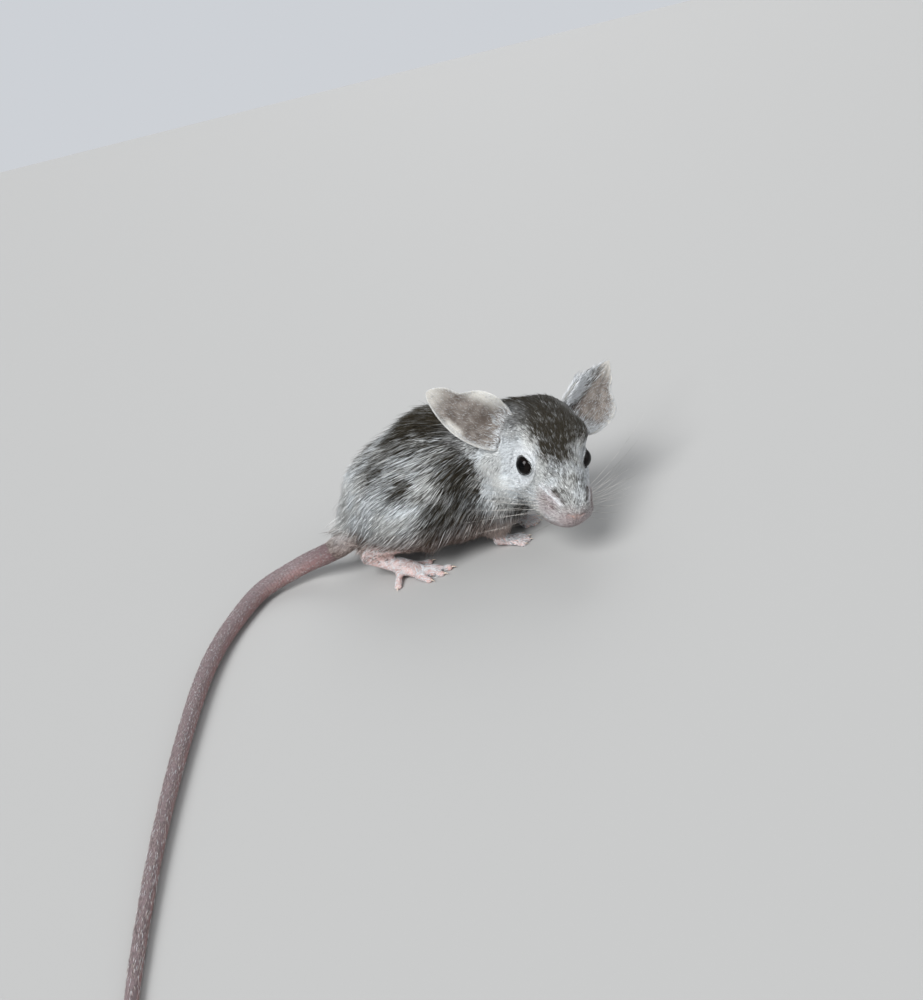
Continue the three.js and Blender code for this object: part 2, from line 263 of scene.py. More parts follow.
def smooth_path(points, count):
    """Evenly spaced places along a centripetal Catmull-Rom curve through the points."""
    points = np.asarray(points, float)
    ends = [2 * points[0] - points[1], 2 * points[-1] - points[-2]]
    points = np.vstack([ends[0], points, ends[1]])
    knots = np.concatenate([[0], np.cumsum(np.linalg.norm(np.diff(points, axis=0), axis=1) ** 0.5)])
    times = np.linspace(knots[1], knots[-2], 60 * len(points))
    k = np.clip(np.searchsorted(knots, times, side="right") - 1, 1, len(points) - 3)

    def blend(a, b, start, end):
        t = ((times - knots[k + start]) / (knots[k + end] - knots[k + start]))[:, None]
        return a * (1 - t) + b * t

    p = [points[k + i] for i in (-1, 0, 1, 2)]
    first = [blend(p[i], p[i + 1], i - 1, i) for i in range(3)]
    second = [blend(first[i], first[i + 1], i - 1, i + 1) for i in range(2)]
    curve = blend(second[0], second[1], 0, 1)
    along = np.concatenate([[0], np.cumsum(np.linalg.norm(np.diff(curve, axis=0), axis=1))])
    even = np.linspace(0, along[-1], count)
    return np.stack([np.interp(even, along, c) for c in curve.T], axis=1)


# ---- Meshes


def linked(name, data):
    """A new object in the scene."""
    obj = bpy.data.objects.new(name, data)
    bpy.context.scene.collection.objects.link(obj)
    return obj


def made_of(work, name):
    """An object from a bmesh, which is used up."""
    mesh = bpy.data.meshes.new(name)
    work.to_mesh(mesh)
    work.free()
    return linked(name, mesh)


def faced_out(obj):
    """The object with its faces outward."""
    work = bmesh.new()
    work.from_mesh(obj.data)
    bmesh.ops.recalc_face_normals(work, faces=work.faces)
    work.to_mesh(obj.data)
    work.free()
    return obj


def smooth(obj):
    """The object with its faces shaded smooth."""
    obj.data.polygons.foreach_set("use_smooth", np.ones(len(obj.data.polygons), bool))
    return obj


def mesh_object(name, points, faces):
    """An object from body-frame points and faces that all have as many corners."""
    faces = np.asarray(faces, np.int32)
    mesh = bpy.data.meshes.new(name)
    mesh.vertices.add(len(points))
    mesh.vertices.foreach_set("co", to_row(points).astype(np.float32).ravel())
    mesh.loops.add(faces.size)
    mesh.loops.foreach_set("vertex_index", faces.ravel())
    mesh.polygons.add(len(faces))
    mesh.polygons.foreach_set("loop_start", np.arange(len(faces), dtype=np.int32) * faces.shape[1])
    mesh.update(calc_edges=True)
    return linked(name, mesh)


def read(obj_or_mesh, what="vertices"):
    """Vertex places in the body frame, or edges, triangles or normals, as an array."""
    mesh = getattr(obj_or_mesh, "data", obj_or_mesh)
    if what == "triangles":
        mesh.calc_loop_triangles()
    source, key, width, kind = {
        "vertices": ("vertices", "co", 3, np.float32),
        "normals": ("vertex_normals", "vector", 3, np.float32),
        "edges": ("edges", "vertices", 2, np.int32),
        "triangles": ("loop_triangles", "vertices", 3, np.int32),
    }[what]
    items = getattr(mesh, source)
    out = np.empty(len(items) * width, kind)
    items.foreach_get(key, out)
    out = out.reshape(-1, width)
    if what == "vertices":
        return to_body(out)
    return out.astype(float) if what == "normals" else out


def place(obj, points):
    """Moves the object's vertices to places in the body frame."""
    obj.data.vertices.foreach_set("co", to_row(points).astype(np.float32).ravel())
    obj.data.update()


def set_attribute(mesh, name, values):
    """Stores one number, or one vector, at each vertex."""
    values = np.asarray(values, np.float32)
    kind, key = ("FLOAT_VECTOR", "vector") if values.ndim == 2 else ("FLOAT", "value")
    old = mesh.attributes.get(name)
    if old:
        mesh.attributes.remove(old)
    mesh.attributes.new(name, kind, "POINT").data.foreach_set(key, values.ravel())


def get_attribute(mesh, name):
    """The number, or the vector, stored at each vertex."""
    data = mesh.attributes[name].data
    wide = mesh.attributes[name].data_type == "FLOAT_VECTOR"
    out = np.empty(len(data) * (3 if wide else 1), np.float32)
    data.foreach_get("vector" if wide else "value", out)
    return out.reshape(-1, 3).astype(float) if wide else out.astype(float)


def baked(obj):
    """The object's mesh with its modifiers applied, and the modifiers gone."""
    depsgraph = bpy.context.evaluated_depsgraph_get()
    mesh = bpy.data.meshes.new_from_object(obj.evaluated_get(depsgraph), depsgraph=depsgraph)
    obj.modifiers.clear()
    old, obj.data = obj.data, mesh
    bpy.data.meshes.remove(old)
    return obj


def remade(obj, voxel):
    """The object as one closed skin of even faces."""
    remesh = obj.modifiers.new("Even faces", "REMESH")
    remesh.mode = "VOXEL"
    remesh.voxel_size = voxel * MM
    remesh.adaptivity = 0
    return baked(obj)


def combined(obj, other, operation):
    """obj with another solid joined to it or cut out of it. The other is used up."""
    step = obj.modifiers.new(operation.title(), "BOOLEAN")
    step.operation = operation
    step.solver = "MANIFOLD"
    step.object = other
    before = len(obj.data.vertices)
    baked(obj)
    if len(obj.data.vertices) < before / 2:
        raise RuntimeError(f"{operation} with {other.name} lost the {obj.name}")
    bpy.data.objects.remove(other)
    return obj


def joined(name, objects):
    """Several objects' meshes in one."""
    work = bmesh.new()
    for obj in objects:
        work.from_mesh(obj.data)
        bpy.data.objects.remove(obj)
    return made_of(work, name)


def grown_copy(node, grow):
    """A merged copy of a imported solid, swollen by some millimetres."""
    work = bmesh.new()
    work.from_mesh(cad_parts[node].data)
    bmesh.ops.remove_doubles(work, verts=work.verts, dist=1e-6)
    work.normal_update()
    for vertex, normal in [(v, v.normal.copy()) for v in work.verts]:
        vertex.co += normal * grow * MM
    return made_of(work, f"{node}_flesh")


def rings_solid(name, rings):
    """A closed solid through rings of points, of which the first and the last are single places."""
    first, *middle, last = [np.atleast_2d(r) for r in rings]
    count = len(middle[0])
    points = np.vstack([first[:1], *middle, last[:1]])
    start = 1 + np.arange(len(middle))[:, None] * count + np.arange(count)
    near, far = start[:-1], start[1:]
    quads = np.stack([near, np.roll(near, -1, 1), np.roll(far, -1, 1), far], -1).reshape(-1, 4)
    walls = np.vstack([quads[:, [0, 1, 2]], quads[:, [0, 2, 3]]])
    end = len(points) - 1
    caps = [
        np.stack([np.zeros(count, int), np.roll(start[0], -1), start[0]], -1),
        np.stack([np.full(count, end), start[-1], np.roll(start[-1], -1)], -1),
    ]
    return faced_out(mesh_object(name, points, np.vstack([walls, *caps])))


def ellipsoid(name, centre, radii, axes=None, segments=24):
    """A ball stretched to its radii along the columns of axes."""
    axes = np.eye(3) if axes is None else axes
    work = bmesh.new()
    bmesh.ops.create_uvsphere(work, u_segments=segments, v_segments=segments // 2, radius=1)
    points = np.array([v.co for v in work.verts]) * np.asarray(radii, float)
    work.verts.index_update()
    # A new ball's faces come in an order of their own each time, so they are sorted.
    faces = sorted([v.index for v in face.verts] for face in work.faces)
    work.free()
    mesh = bpy.data.meshes.new(name)
    mesh.from_pydata(to_row(points @ axes.T + np.asarray(centre, float)).tolist(), [], faces)
    return linked(name, mesh)


def tube(name, path, radii, sides=10):
    """A closed round solid along a path."""
    path = np.asarray(path, float)
    radii = np.broadcast_to(np.asarray(radii, float), (len(path),))
    along = unit(np.gradient(path, axis=0))
    side = unit(np.cross(along, np.where(np.abs(along[:, 2:]) < 0.9, [[0, 0, 1.0]], [[1.0, 0, 0]])))
    top = np.cross(side, along)
    angles = np.linspace(0, 2 * np.pi, sides, endpoint=False)
    around = np.cos(angles)[None, :, None] * side[:, None] + np.sin(angles)[None, :, None] * top[:, None]
    rings = path[:, None] + radii[:, None, None] * around
    ends = [path[0] - along[0] * radii[0] * 0.5, path[-1] + along[-1] * radii[-1] * 0.5]
    return rings_solid(name, [ends[0], *rings, ends[1]])


def surface_of(obj_or_mesh):
    """A tree for finding the nearest place on a surface, in body-frame millimetres."""
    return BVHTree.FromPolygons(read(obj_or_mesh).tolist(), read(obj_or_mesh, "triangles").tolist())


def tree_of(points):
    """A tree for finding the nearest of some points."""
    tree = KDTree(len(points))
    for i, point in enumerate(points):
        tree.insert(point, i)
    tree.balance()
    return tree


def nearest(surface, points):
    """Nearest places on a surface, its normals there and its faces."""
    found = [surface.find_nearest(Vector(p)) for p in points]
    return tuple(np.array([f[i] for f in found]) for i in range(3))


def lifted(points, lowest):
    """The places, with none of them lower than this."""
    points[:, 2] = np.maximum(points[:, 2], lowest)
    return points


def grounded(obj):
    """The object with what is under the floor pressed flat on it."""
    place(obj, lifted(read(obj), 0))
    return obj


# ---- The ears


def ear_axes(side):
    """The columns are along the ear, across it, and out of its hollow."""
    ear = EARS[side]
    along = unit(ear["length"])
    across = unit(np.cross(ear["opening"], along))
    return HEAD_AXES @ np.stack([along, across, np.cross(along, across)], axis=1)


def ear_sheet(side, up, out, layer, thick):
    """Places on an ear: up from its foot (0) to its tip (1), out from edge (-1) to edge (1), and layer from
    its furred back (-1) to its hollow (1)."""
    ear = EARS[side]
    pick = (out >= 0).astype(int)
    full, dip = np.array(ear["full"])[pick], np.array(ear["dip"])[pick]
    drawn_in = 1 - dip * hump(up, EAR_DIP_AT, 0.11)
    reach = np.sqrt(np.clip(1 - (2 * up - 1) ** 2, 0, 1)) * (1 - ear["taper"] * up**2) * full * drawn_in
    curl = 1.1 - 0.6 * up
    cupped = EAR_WIDTH / 2 / curl
    lift = cupped * (1 - np.cos(out * reach * curl))
    crown = out * (-1 if side == "right" else 1)  # towards the edge that is nearer the crown
    middle = ramp(up, 0.2, 0.4) * (1 - ramp(up, 0.78, 0.98))
    lift += 0.2 * np.cos(9 * out + 2 * up) * middle * (1 - out**2)  # the ridges of the shell
    lift += 0.95 * hump(up, 0.4, 0.13) * ramp(crown, 0.5, 1)  # the edge rolled over at the front
    lift += 0.3 * ramp(np.abs(out), 0.8, 1) * middle  # the rim
    lift -= 0.9 * hump(up, 0.3, 0.1) * hump(crown, 0.2, 0.4)  # the hollow
    lift += 0.8 * hump(up, 0.17, 0.06) * hump(crown, -0.5, 0.3)  # the knob at its foot
    depth = layer * thick / 2 * (1.25 - 0.5 * up)
    local = np.stack([EAR_LENGTH * up, cupped * np.sin(out * reach * curl), lift + depth], axis=-1)
    return local @ ear_axes(side).T + from_head(ear["foot"])


def ear_solid(side, thick, steps=52, around=60):
    """A thin cupped leaf, and where each of its points lies on it."""
    angles = np.linspace(0, 2 * np.pi, around, endpoint=False)
    out = np.sign(np.cos(angles)) * np.abs(np.cos(angles)) ** 0.8
    layer = np.sign(np.sin(angles)) * np.abs(np.sin(angles)) ** 0.45
    ups = (1 - np.cos(np.linspace(0, np.pi, steps))) / 2
    up_grid, out_grid = np.meshgrid(ups[1:-1], out, indexing="ij")
    layer_grid = np.broadcast_to(layer, up_grid.shape)
    rings = ear_sheet(side, up_grid, out_grid, layer_grid, thick)
    poles = ear_sheet(side, np.array([0, 1.0]), np.zeros(2), np.zeros(2), thick)
    solid = rings_solid(f"ear_leaf_{side}", [poles[0], *rings, poles[1]])
    where = np.vstack(
        [[0, 0, 0], np.stack([up_grid, out_grid, layer_grid], -1).reshape(-1, 3), [1, 0, 0]]
    )
    return solid, where


# ---- The skin

TRUNK_KINDS = {"chest", "midriff", "rump", "thigh", "upper_arm", "neck"}
SWELL = 0.2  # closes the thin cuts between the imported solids
# How far smoothing evens out the facets of each part.
EVENING = {**dict.fromkeys(TRUNK_KINDS, 0.9), "head": 0.7, "shank": 0.5, "forearm": 0.5}


def on_flesh(points):
    """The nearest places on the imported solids, and the kind of solid there."""
    vertices, triangles, owner = [], [], []
    for node in FLESH:
        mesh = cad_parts[node].data
        corners = read(mesh, "triangles") + sum(len(v) for v in vertices)
        vertices.append(read(mesh))
        triangles.append(corners)
        owner += [kind_of(node)] * len(corners)
    surface = BVHTree.FromPolygons(np.vstack(vertices).tolist(), np.vstack(triangles).tolist())
    where, _, faces = nearest(surface, points)
    return where, np.array(owner)[faces]


def coat_depth(points, kinds):
    """How deep the coat is above each place: it runs out over the face towards the nose."""
    depth = np.array([COAT_DEPTH[k] for k in kinds])
    low = np.isin(kinds, ["thigh", "upper_arm", "chest", "midriff"])
    depth = np.where(low, depth * (0.4 + 0.6 * ramp(points[:, 2], 2, 9)), depth)
    face = 0.16 + 0.84 * (1 - ramp(to_head(points)[:, 0], -8, 3))
    return np.where(kinds == "head", face, depth)


def drawn_in(skin):
    """The skin with its facets evened out, and everywhere as far inside the solids as the coat is deep."""
    points, edges = read(skin), read(skin, "edges")
    kinds = on_flesh(points)[1]
    share = eased([EVENING.get(k, 0.1) for k in kinds], edges, 0.5, 10)[:, 0]
    depth = eased(coat_depth(points, kinds), edges, 0.5, 50)
    points = eased(points, edges, 0.6 * share, 50)
    place(skin, points)
    normals = read(skin, "normals")
    gap = ((points - on_flesh(points)[0]) * normals).sum(1)
    gap = eased(np.clip(gap, -0.9, SWELL), edges, 0.5, 30)
    place(skin, points - (gap + depth) * normals)
    return skin


def orbit(side):
    """The mound round an eye, which its lids lie on."""
    return ellipsoid(f"orbit_{side}", EYES[side] - 1.4 * EYE_LOOKS[side], [2.4] * 3)


def dished(skin):
    """The skin sunk in a shallow dish round each eye, so that half of the eyeball stands out of it."""
    points = read(skin)
    for side in SIDES:
        away = points - EYES[side]
        height = away @ EYE_LOOKS[side]
        beside = np.linalg.norm(away - height[:, None] * EYE_LOOKS[side], axis=1)
        rim = 0.28 + 0.2 * np.maximum(beside - 1.7, 0) ** 2
        sunk = np.maximum(height - rim, 0) * (1 - ramp(beside, 3, 5))
        points = points - sunk[:, None] * EYE_LOOKS[side]
    place(skin, points)
    return skin


def in_ear(side, points):
    """Places as distances along an ear, across it and out of its hollow."""
    return (points - from_head(EARS[side]["foot"])) @ ear_axes(side)


def cleared(skin):
    """The skin sunk behind the ears, so that nothing of the head stands in their hollows."""
    points = read(skin)
    for side in SIDES:
        along, across, out = in_ear(side, points).T
        above = out + 0.7 - across**2 / 12
        share = ramp(along, 0.3, 3.5) * (1 - ramp(along, 15, 17)) * (1 - ramp(np.abs(across), 3.6, 5.4))
        share *= 1 - ramp(across * SIDES[side], 1.4, 3.2)
        sunk = np.clip(above, 0, 4) * share * (out < 6)
        points = points - sunk[:, None] * ear_axes(side)[:, 2]
    place(skin, points)
    return skin


def ear_root(side):
    """The mound that an ear grows out of."""
    axes = ear_axes(side)
    centre = from_head(EARS[side]["foot"]) + axes @ np.array([2.0, 0, -1.2])
    return ellipsoid(f"ear_root_{side}", centre, [3.2, 2.8, 1.4], axes)


def toe_forms():
    """The knuckles and the round pads at the ends of the toes."""
    forms = []
    for _, path, kind in toes():
        radius = TOE_RADIUS[kind]
        for share, size in ((0.3, 0.9), (0.62, 0.98), (0.97, 1.05)):
            centre = path[0] * (1 - share) + path[1] * share
            forms.append(ellipsoid("toe", centre, [size * radius, size * radius, 0.8 * radius]))
    return forms


def toes():
    """Each toe's foot, its root and tip, and whether it is a hind or a fore one."""
    found = []
    for foot, (heel, ball) in FEET.items():
        kind, side = foot.split("_")[0], foot.split("_")[2]
        ahead = unit(np.subtract(ball, heel[:2]))
        outward = np.array([ahead[1], -ahead[0]]) * -SIDES[side]
        for (near_ahead, near_out), (far_ahead, far_out) in TOES[kind]:
            root = np.array(ball) + near_ahead * ahead + near_out * outward
            tip = np.array(ball) + far_ahead * ahead + far_out * outward
            height = 0.72 * TOE_RADIUS[kind] - 0.15
            found.append((foot, np.array([[*root, height + 0.35], [*tip, height]]), kind))
    return found


def face_forms():
    """The pads that the whiskers grow from, and the chin."""
    forms = [ellipsoid("chin", from_head([7.6, 0, -6.9]), [1.9, 1.6, 1.0], HEAD_AXES)]
    for side, sign in SIDES.items():
        pad = from_head([7.9, 2.05 * sign, -4.9])
        forms.append(ellipsoid(f"whisker_pad_{side}", pad, [2.5, 1.9, 2.0], HEAD_AXES))
    return forms


def eye_axes(side):
    """The way an eye looks, and the ways to its front corner and across its lids."""
    look = EYE_LOOKS[side]
    front = unit(HEAD_AXES[:, 0] - (HEAD_AXES[:, 0] @ look) * look)
    return look, front, np.cross(look, front)


def lid_edge(turn, opening, corner):
    """The angle at which the lids' edge lies off the middle of the eye, in degrees, all round it."""
    return opening - corner * (1 - np.abs(np.cos(turn)) ** 3)


def lid(side, opening, corner, thick, around=56):
    """A pair of lids as one hoop on the eyeball, drawn out to a corner in front and behind."""
    look, front, top = eye_axes(side)
    turn = np.linspace(0, 2 * np.pi, around, endpoint=False)
    edge = np.radians(lid_edge(turn, opening, corner))
    section = [(0, 0.02), (-1, 0.45), (3, 0.85), (8, 1.0), (15, 0.95), (24, 0.6), (24, 0.02)]
    rows = []
    for beyond, rise in section:
        angle = edge + np.radians(beyond)
        radial = np.cos(turn)[:, None] * front + np.sin(turn)[:, None] * top
        way = np.cos(angle)[:, None] * look + np.sin(angle)[:, None] * radial
        rows.append(EYES[side] + (EYE_RADIUS + rise * thick) * way)
    grid = np.stack(rows)
    count = len(section)
    near = np.arange(count * around).reshape(count, around)
    far = np.roll(near, -1, 0)
    quads = np.stack([near, np.roll(near, -1, 1), np.roll(far, -1, 1), far], -1)
    return faced_out(mesh_object(f"lid_{side}", grid.reshape(-1, 3), quads.reshape(-1, 4)))


def nose_forms():
    """The bare end of the nose."""
    forms = [ellipsoid("nose_middle", from_head(NOSE), [0.95, 0.7, 0.8], HEAD_AXES)]
    for side, sign in SIDES.items():
        wing = from_head(NOSE + [-0.12, 0.7 * sign, -0.08])
        forms.append(ellipsoid(f"nose_wing_{side}", wing, [0.88, 0.7, 0.68], HEAD_AXES))
    return forms


def face_cuts(skin):
    """The nostrils, the cleft from the nose to the mouth, and the mouth's line."""
    cuts = []
    surface = surface_of(skin)
    for side, sign in SIDES.items():
        path = smooth_path(from_head([NOSE + [x, y * sign, z] for x, y, z in NOSTRIL]), 12)
        cuts.append(tube(f"nostril_{side}", nearest(surface, path)[0], np.linspace(0.22, 0.1, 12)))
    cleft = smooth_path(from_head(CLEFT), 16)
    mouth = [*MOUTH, *[(x, -y, z) for x, y, z in reversed(MOUTH[:-1])]]
    line = smooth_path(from_head(mouth), 40)
    cuts.append(tube("cleft", nearest(surface, cleft)[0], 0.11))
    thickness = 0.16 * np.sin(np.linspace(0.25, np.pi - 0.25, 40)) ** 0.5
    cuts.append(tube("mouth", nearest(surface, line)[0], thickness))
    return cuts


# ---- The tail, as a graph of Geometry Nodes


class Graph:
    """Makes nodes in a tree, of either kind."""

    def __init__(self, tree):
        self.tree = tree
        tree.nodes.clear()

    def add(self, kind, settings=None, inputs=None, out=0):
        """A node of a kind, with its settings and then its sockets' values or links."""
        node = self.tree.nodes.new(kind)
        for key, value in (settings or {}).items():
            setattr(node, key, value)
        if isinstance(inputs, (tuple, list)):
            inputs = dict(enumerate(inputs))
        for key, value in (inputs or {}).items():
            self.feed(node.inputs[key], value)
        return Wire(self, node.outputs[out]) if node.outputs else node

    def feed(self, socket, value):
        if isinstance(value, Wire):
            self.tree.links.new(value.socket, socket)
        elif value is not None:
            socket.default_value = value

    def maths(self, operation, *values):
        return self.add("ShaderNodeMath", {"operation": operation}, values)

    def vector(self, operation, *values, out=0):
        return self.add("ShaderNodeVectorMath", {"operation": operation}, values, out)

    def ramp(self, value, start, end, low=0.0, high=1.0):
        """low before start, high after end, and smooth between."""
        settings = {"interpolation_type": "SMOOTHSTEP"}
        return self.add("ShaderNodeMapRange", settings, (value, start, end, low, high))

    def mix(self, share, first, second):
        """A colour between two."""
        return self.add("ShaderNodeMix", {"data_type": "RGBA"}, {0: share, 6: first, 7: second}, 2)

    def parts(self, vector):
        """The three numbers of a vector."""
        node = self.add("ShaderNodeSeparateXYZ", None, [vector])
        return [node.output(axis) for axis in "XYZ"]

    def noise(self, place, scale, detail=2.0, roughness=0.5, out=0):
        settings = {"noise_dimensions": "3D"}
        inputs = {"Vector": place, "Scale": scale, "Detail": detail, "Roughness": roughness}
        return self.add("ShaderNodeTexNoise", settings, inputs, out)


class Wire:
    """An output socket that works in sums as a number does."""

    def __init__(self, graph, socket):
        self.graph, self.socket = graph, socket

    def __add__(self, other):
        return self.graph.maths("ADD", self, other)

    def __mul__(self, other):
        return self.graph.maths("MULTIPLY", self, other)

    def __sub__(self, other):
        return self.graph.maths("SUBTRACT", self, other)

    def __rsub__(self, other):
        return self.graph.maths("SUBTRACT", other, self)

    def __truediv__(self, other):
        return self.graph.maths("DIVIDE", self, other)

    def __pow__(self, other):
        return self.graph.maths("POWER", self, other)

    __radd__ = __add__
    __rmul__ = __mul__

    def __abs__(self):
        return self.graph.maths("ABSOLUTE", self)

    def output(self, name):
        """Another output of the same node."""
        return Wire(self.graph, self.socket.node.outputs[name])


def geometry_tree(name, sizes):
    """A tree for a modifier, with a geometry going in and out and its sizes as named inputs."""
    tree = bpy.data.node_groups.new(name, "GeometryNodeTree")
    tree.interface.new_socket("Geometry", in_out="INPUT", socket_type="NodeSocketGeometry")
    tree.interface.new_socket("Geometry", in_out="OUTPUT", socket_type="NodeSocketGeometry")
    for label, value in sizes.items():
        socket = tree.interface.new_socket(label, in_out="INPUT", socket_type="NodeSocketFloat")
        socket.default_value = value
    graph = Graph(tree)
    return graph, graph.add("NodeGroupInput")


def swept(graph, curve, width, sides):
    """A closed round solid along a curve, whose width may vary."""
    ring = graph.add("GeometryNodeCurvePrimitiveCircle", None, {"Resolution": sides, "Radius": 1.0})
    inputs = {"Curve": curve, "Profile Curve": ring, "Scale": width, "Fill Caps": True}
    return graph.add("GeometryNodeCurveToMesh", None, inputs)


def grown(obj, graph, geometry, sizes, material=None):
    """Ends a tree, runs it on the object with these sizes, and keeps the mesh that it makes."""
    geometry = graph.add("GeometryNodeRealizeInstances", None, {0: geometry})
    if material:
        geometry = graph.add("GeometryNodeSetMaterial", None, {"Geometry": geometry, "Material": material})
    graph.add("NodeGroupOutput", None, {0: geometry})
    step = obj.modifiers.new(graph.tree.name, "NODES")
    step.node_group = graph.tree
    for item in graph.tree.interface.items_tree:
        if item.name in sizes:
            step[item.identifier] = float(sizes[item.name])
    return baked(obj)


def path_object(name, paths):
    """Polylines of places in the body frame, as edges."""
    points = np.vstack(paths)
    mesh = bpy.data.meshes.new(name)
    starts = np.cumsum([0] + [len(p) for p in paths])
    edges = [(i, i + 1) for a, b in zip(starts, starts[1:]) for i in range(a, b - 1)]
    mesh.from_pydata(to_row(points).tolist(), edges, [])
    return linked(name, mesh)


def tail_radius(along):
    """The tail's radius at shares of its length."""
    return TAIL_RADII[0] + (TAIL_RADII[1] - TAIL_RADII[0]) * along**TAIL_TAPER


def tail_centres(count):
    """The tail's centreline: it lies on the floor, which takes a little off its underside."""
    path = smooth_path(TAIL_PATH, count)
    radius = tail_radius(np.linspace(0, 1, count))
    path[:, 2] = np.maximum(path[:, 2], radius - TAIL_FLAT)
    return path, radius


def tail_solid(size):
    """The tail, with a ring of scales at each step along it."""
    obj = path_object("tail_rings", [tail_centres(TAIL_STEPS)[0]])
    sizes = {
        "Base radius": TAIL_RADII[0] * MM,
        "Tip radius": TAIL_RADII[1] * MM,
        "Taper": TAIL_TAPER,
        "Ring spacing": size.ring_spacing,
        "Ring relief": size.ring_relief,
        "Step": size.ring_spacing / 4,
    }
    graph, given = geometry_tree("Tail rings", sizes)
    curve = graph.add("GeometryNodeMeshToCurve", None, {0: given.output("Geometry")})
    inputs = {"Curve": curve, "Length": given.output("Step")}
    curve = graph.add("GeometryNodeResampleCurve", {"mode": "LENGTH"}, inputs)
    along = graph.add("GeometryNodeSplineParameter")
    share = along.output("Factor") ** given.output("Taper")
    width = given.output("Base radius") + share * (given.output("Tip radius") - given.output("Base radius"))
    phase = graph.maths("FRACT", along.output("Length") / given.output("Ring spacing"))
    scale = graph.maths("SINE", phase**0.6 * math.pi)
    width = width * (1 - given.output("Ring relief") * (1 - scale))
    end = graph.ramp(along.output("Factor"), 1, 0.994)
    width = width * graph.maths("SQRT", end + 0.02)
    return grounded(grown(obj, graph, swept(graph, curve, width, 20), sizes))


# ---- The skin, put together


def settled(skin, share, rounds):
    """The skin with its joins smoothed."""
    place(skin, eased(read(skin), read(skin, "edges"), share, rounds))
    return skin


def thinned(skin, share):
    """Fewer faces, most of them from where the form is plain."""
    step = skin.modifiers.new("Fewer faces", "DECIMATE")
    step.ratio = share
    return baked(skin)


def build_skin(size):
    """The whole mouse as one closed skin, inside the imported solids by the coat's depth."""
    flesh = [grown_copy(node, SWELL) for node in FLESH]
    flesh += [ellipsoid(f"eye_fill_{s}", EYES[s], [EYE_RADIUS + 0.45] * 3) for s in SIDES]
    skin = drawn_in(remade(joined("skin", flesh), size.rough_face / MM))
    forms = [make(side) for side in SIDES for make in (orbit, ear_root)]
    skin = remade(joined("skin", [skin, *forms, *face_forms(), *toe_forms()]), size.fine_face / MM)
    skin = grounded(thinned(dished(settled(cleared(skin), 0.35, 8)), size.face_share))
    for form in nose_forms():
        combined(skin, form, "UNION")
    for cut in face_cuts(skin):
        combined(skin, cut, "DIFFERENCE")
    for side in SIDES:
        combined(skin, lid(side, size.lid_opening, size.lid_corner, size.lid_thickness / MM), "UNION")
        ball = ellipsoid(f"eye_space_{side}", EYES[side], [EYE_RADIUS + 0.012] * 3, segments=48)
        combined(skin, ball, "DIFFERENCE")
    guides = {}
    for side in SIDES:
        leaf, where = ear_solid(side, size.ear_thickness / MM)
        guides[side] = (read(leaf), where)
        combined(skin, leaf, "UNION")
    return combined(skin, tail_solid(size), "UNION"), guides


def ear_places(points, guides):
    """Where each place is on an ear, and which side's ear it is: 0 is neither."""
    ear, ear_side = np.zeros((len(points), 3)), np.zeros(len(points))
    for side, (leaf, where) in guides.items():
        tree = tree_of(leaf)
        for i in np.flatnonzero(np.linalg.norm(points - leaf.mean(0), axis=1) < EAR_LENGTH):
            _, index, distance = tree.find(points[i])
            if distance < 0.12:
                ear[i] = where[index]
                ear_side[i] = SIDES[side]
    return ear, ear_side


def tail_shares(points):
    """How far along the tail each place is, from 0 off it to 1 at its tip."""
    centres, radius = tail_centres(TAIL_STEPS)
    tail = np.zeros(len(points))
    behind = np.flatnonzero(points[:, 0] < TAIL_PATH[0][0])
    gaps = np.linalg.norm(points[behind][:, None] - centres[None, ::2], axis=2)
    closest = gaps.argmin(1) * 2
    on_tail = (gaps.min(1) < radius[closest] + 0.25) & (closest > 12)
    tail[behind[on_tail]] = closest[on_tail] / (len(centres) - 1)
    return tail


def lid_shares(points, opening, corner):
    """1 on the lids' edges, falling off over the skin beyond them."""
    lids = np.zeros(len(points))
    for side in SIDES:
        away = points - EYES[side]
        look, front, top = eye_axes(side)
        turn = np.arctan2(away @ top, away @ front)
        beyond = np.degrees(np.arccos(np.clip(unit(away) @ look, -1, 1))) - lid_edge(turn, opening, corner)
        close = np.linalg.norm(away, axis=1) < EYE_RADIUS + 0.4
        lids = np.maximum(lids, close * (1 - ramp(beyond, 2, 7)))
    return lids


def skin_masks(skin, guides, opening, corner):
    """Writes on the skin what its finish and its coat read: where each point is, how deep the coat is there,
    and how far it belongs to the nose, the lids, an ear, a bare limb or the tail."""
    points, edges = read(skin), read(skin, "edges")
    kinds = on_flesh(points)[1]
    ear, ear_side = ear_places(points, guides)
    tail = tail_shares(points)
    depth = eased(coat_depth(points, kinds), edges, 0.5, 12)[:, 0]
    depth = np.where(tail > 0, 0.6 * (1 - ramp(tail, 0.01, 0.1)), np.where(ear_side != 0, 0, depth))
    head = to_head(points)
    lips = 0.45 * (1 - ramp(gap_to(head, MOUTH), 0.4, 1.1))
    nose = np.maximum(mound(head, NOSE, [1.2, 1.9, 1.1]) * 1.35, lips)
    limb = np.array([LIMB_BARE.get(k, 0.0) for k in kinds])
    limb = np.where(kinds == "upper_arm", 0.7 * (1 - ramp(points[:, 2], 4, 8)), limb) * (tail == 0)
    masks = {"root": points, "depth": depth, "ear": ear, "ear_side": ear_side, "tail": tail}
    masks |= {"lids": lid_shares(points, opening, corner), "nose": nose}
    masks |= {"limb": eased(limb, edges, 0.5, 25)[:, 0]}
    for name, values in masks.items():
        set_attribute(skin.data, name, values)


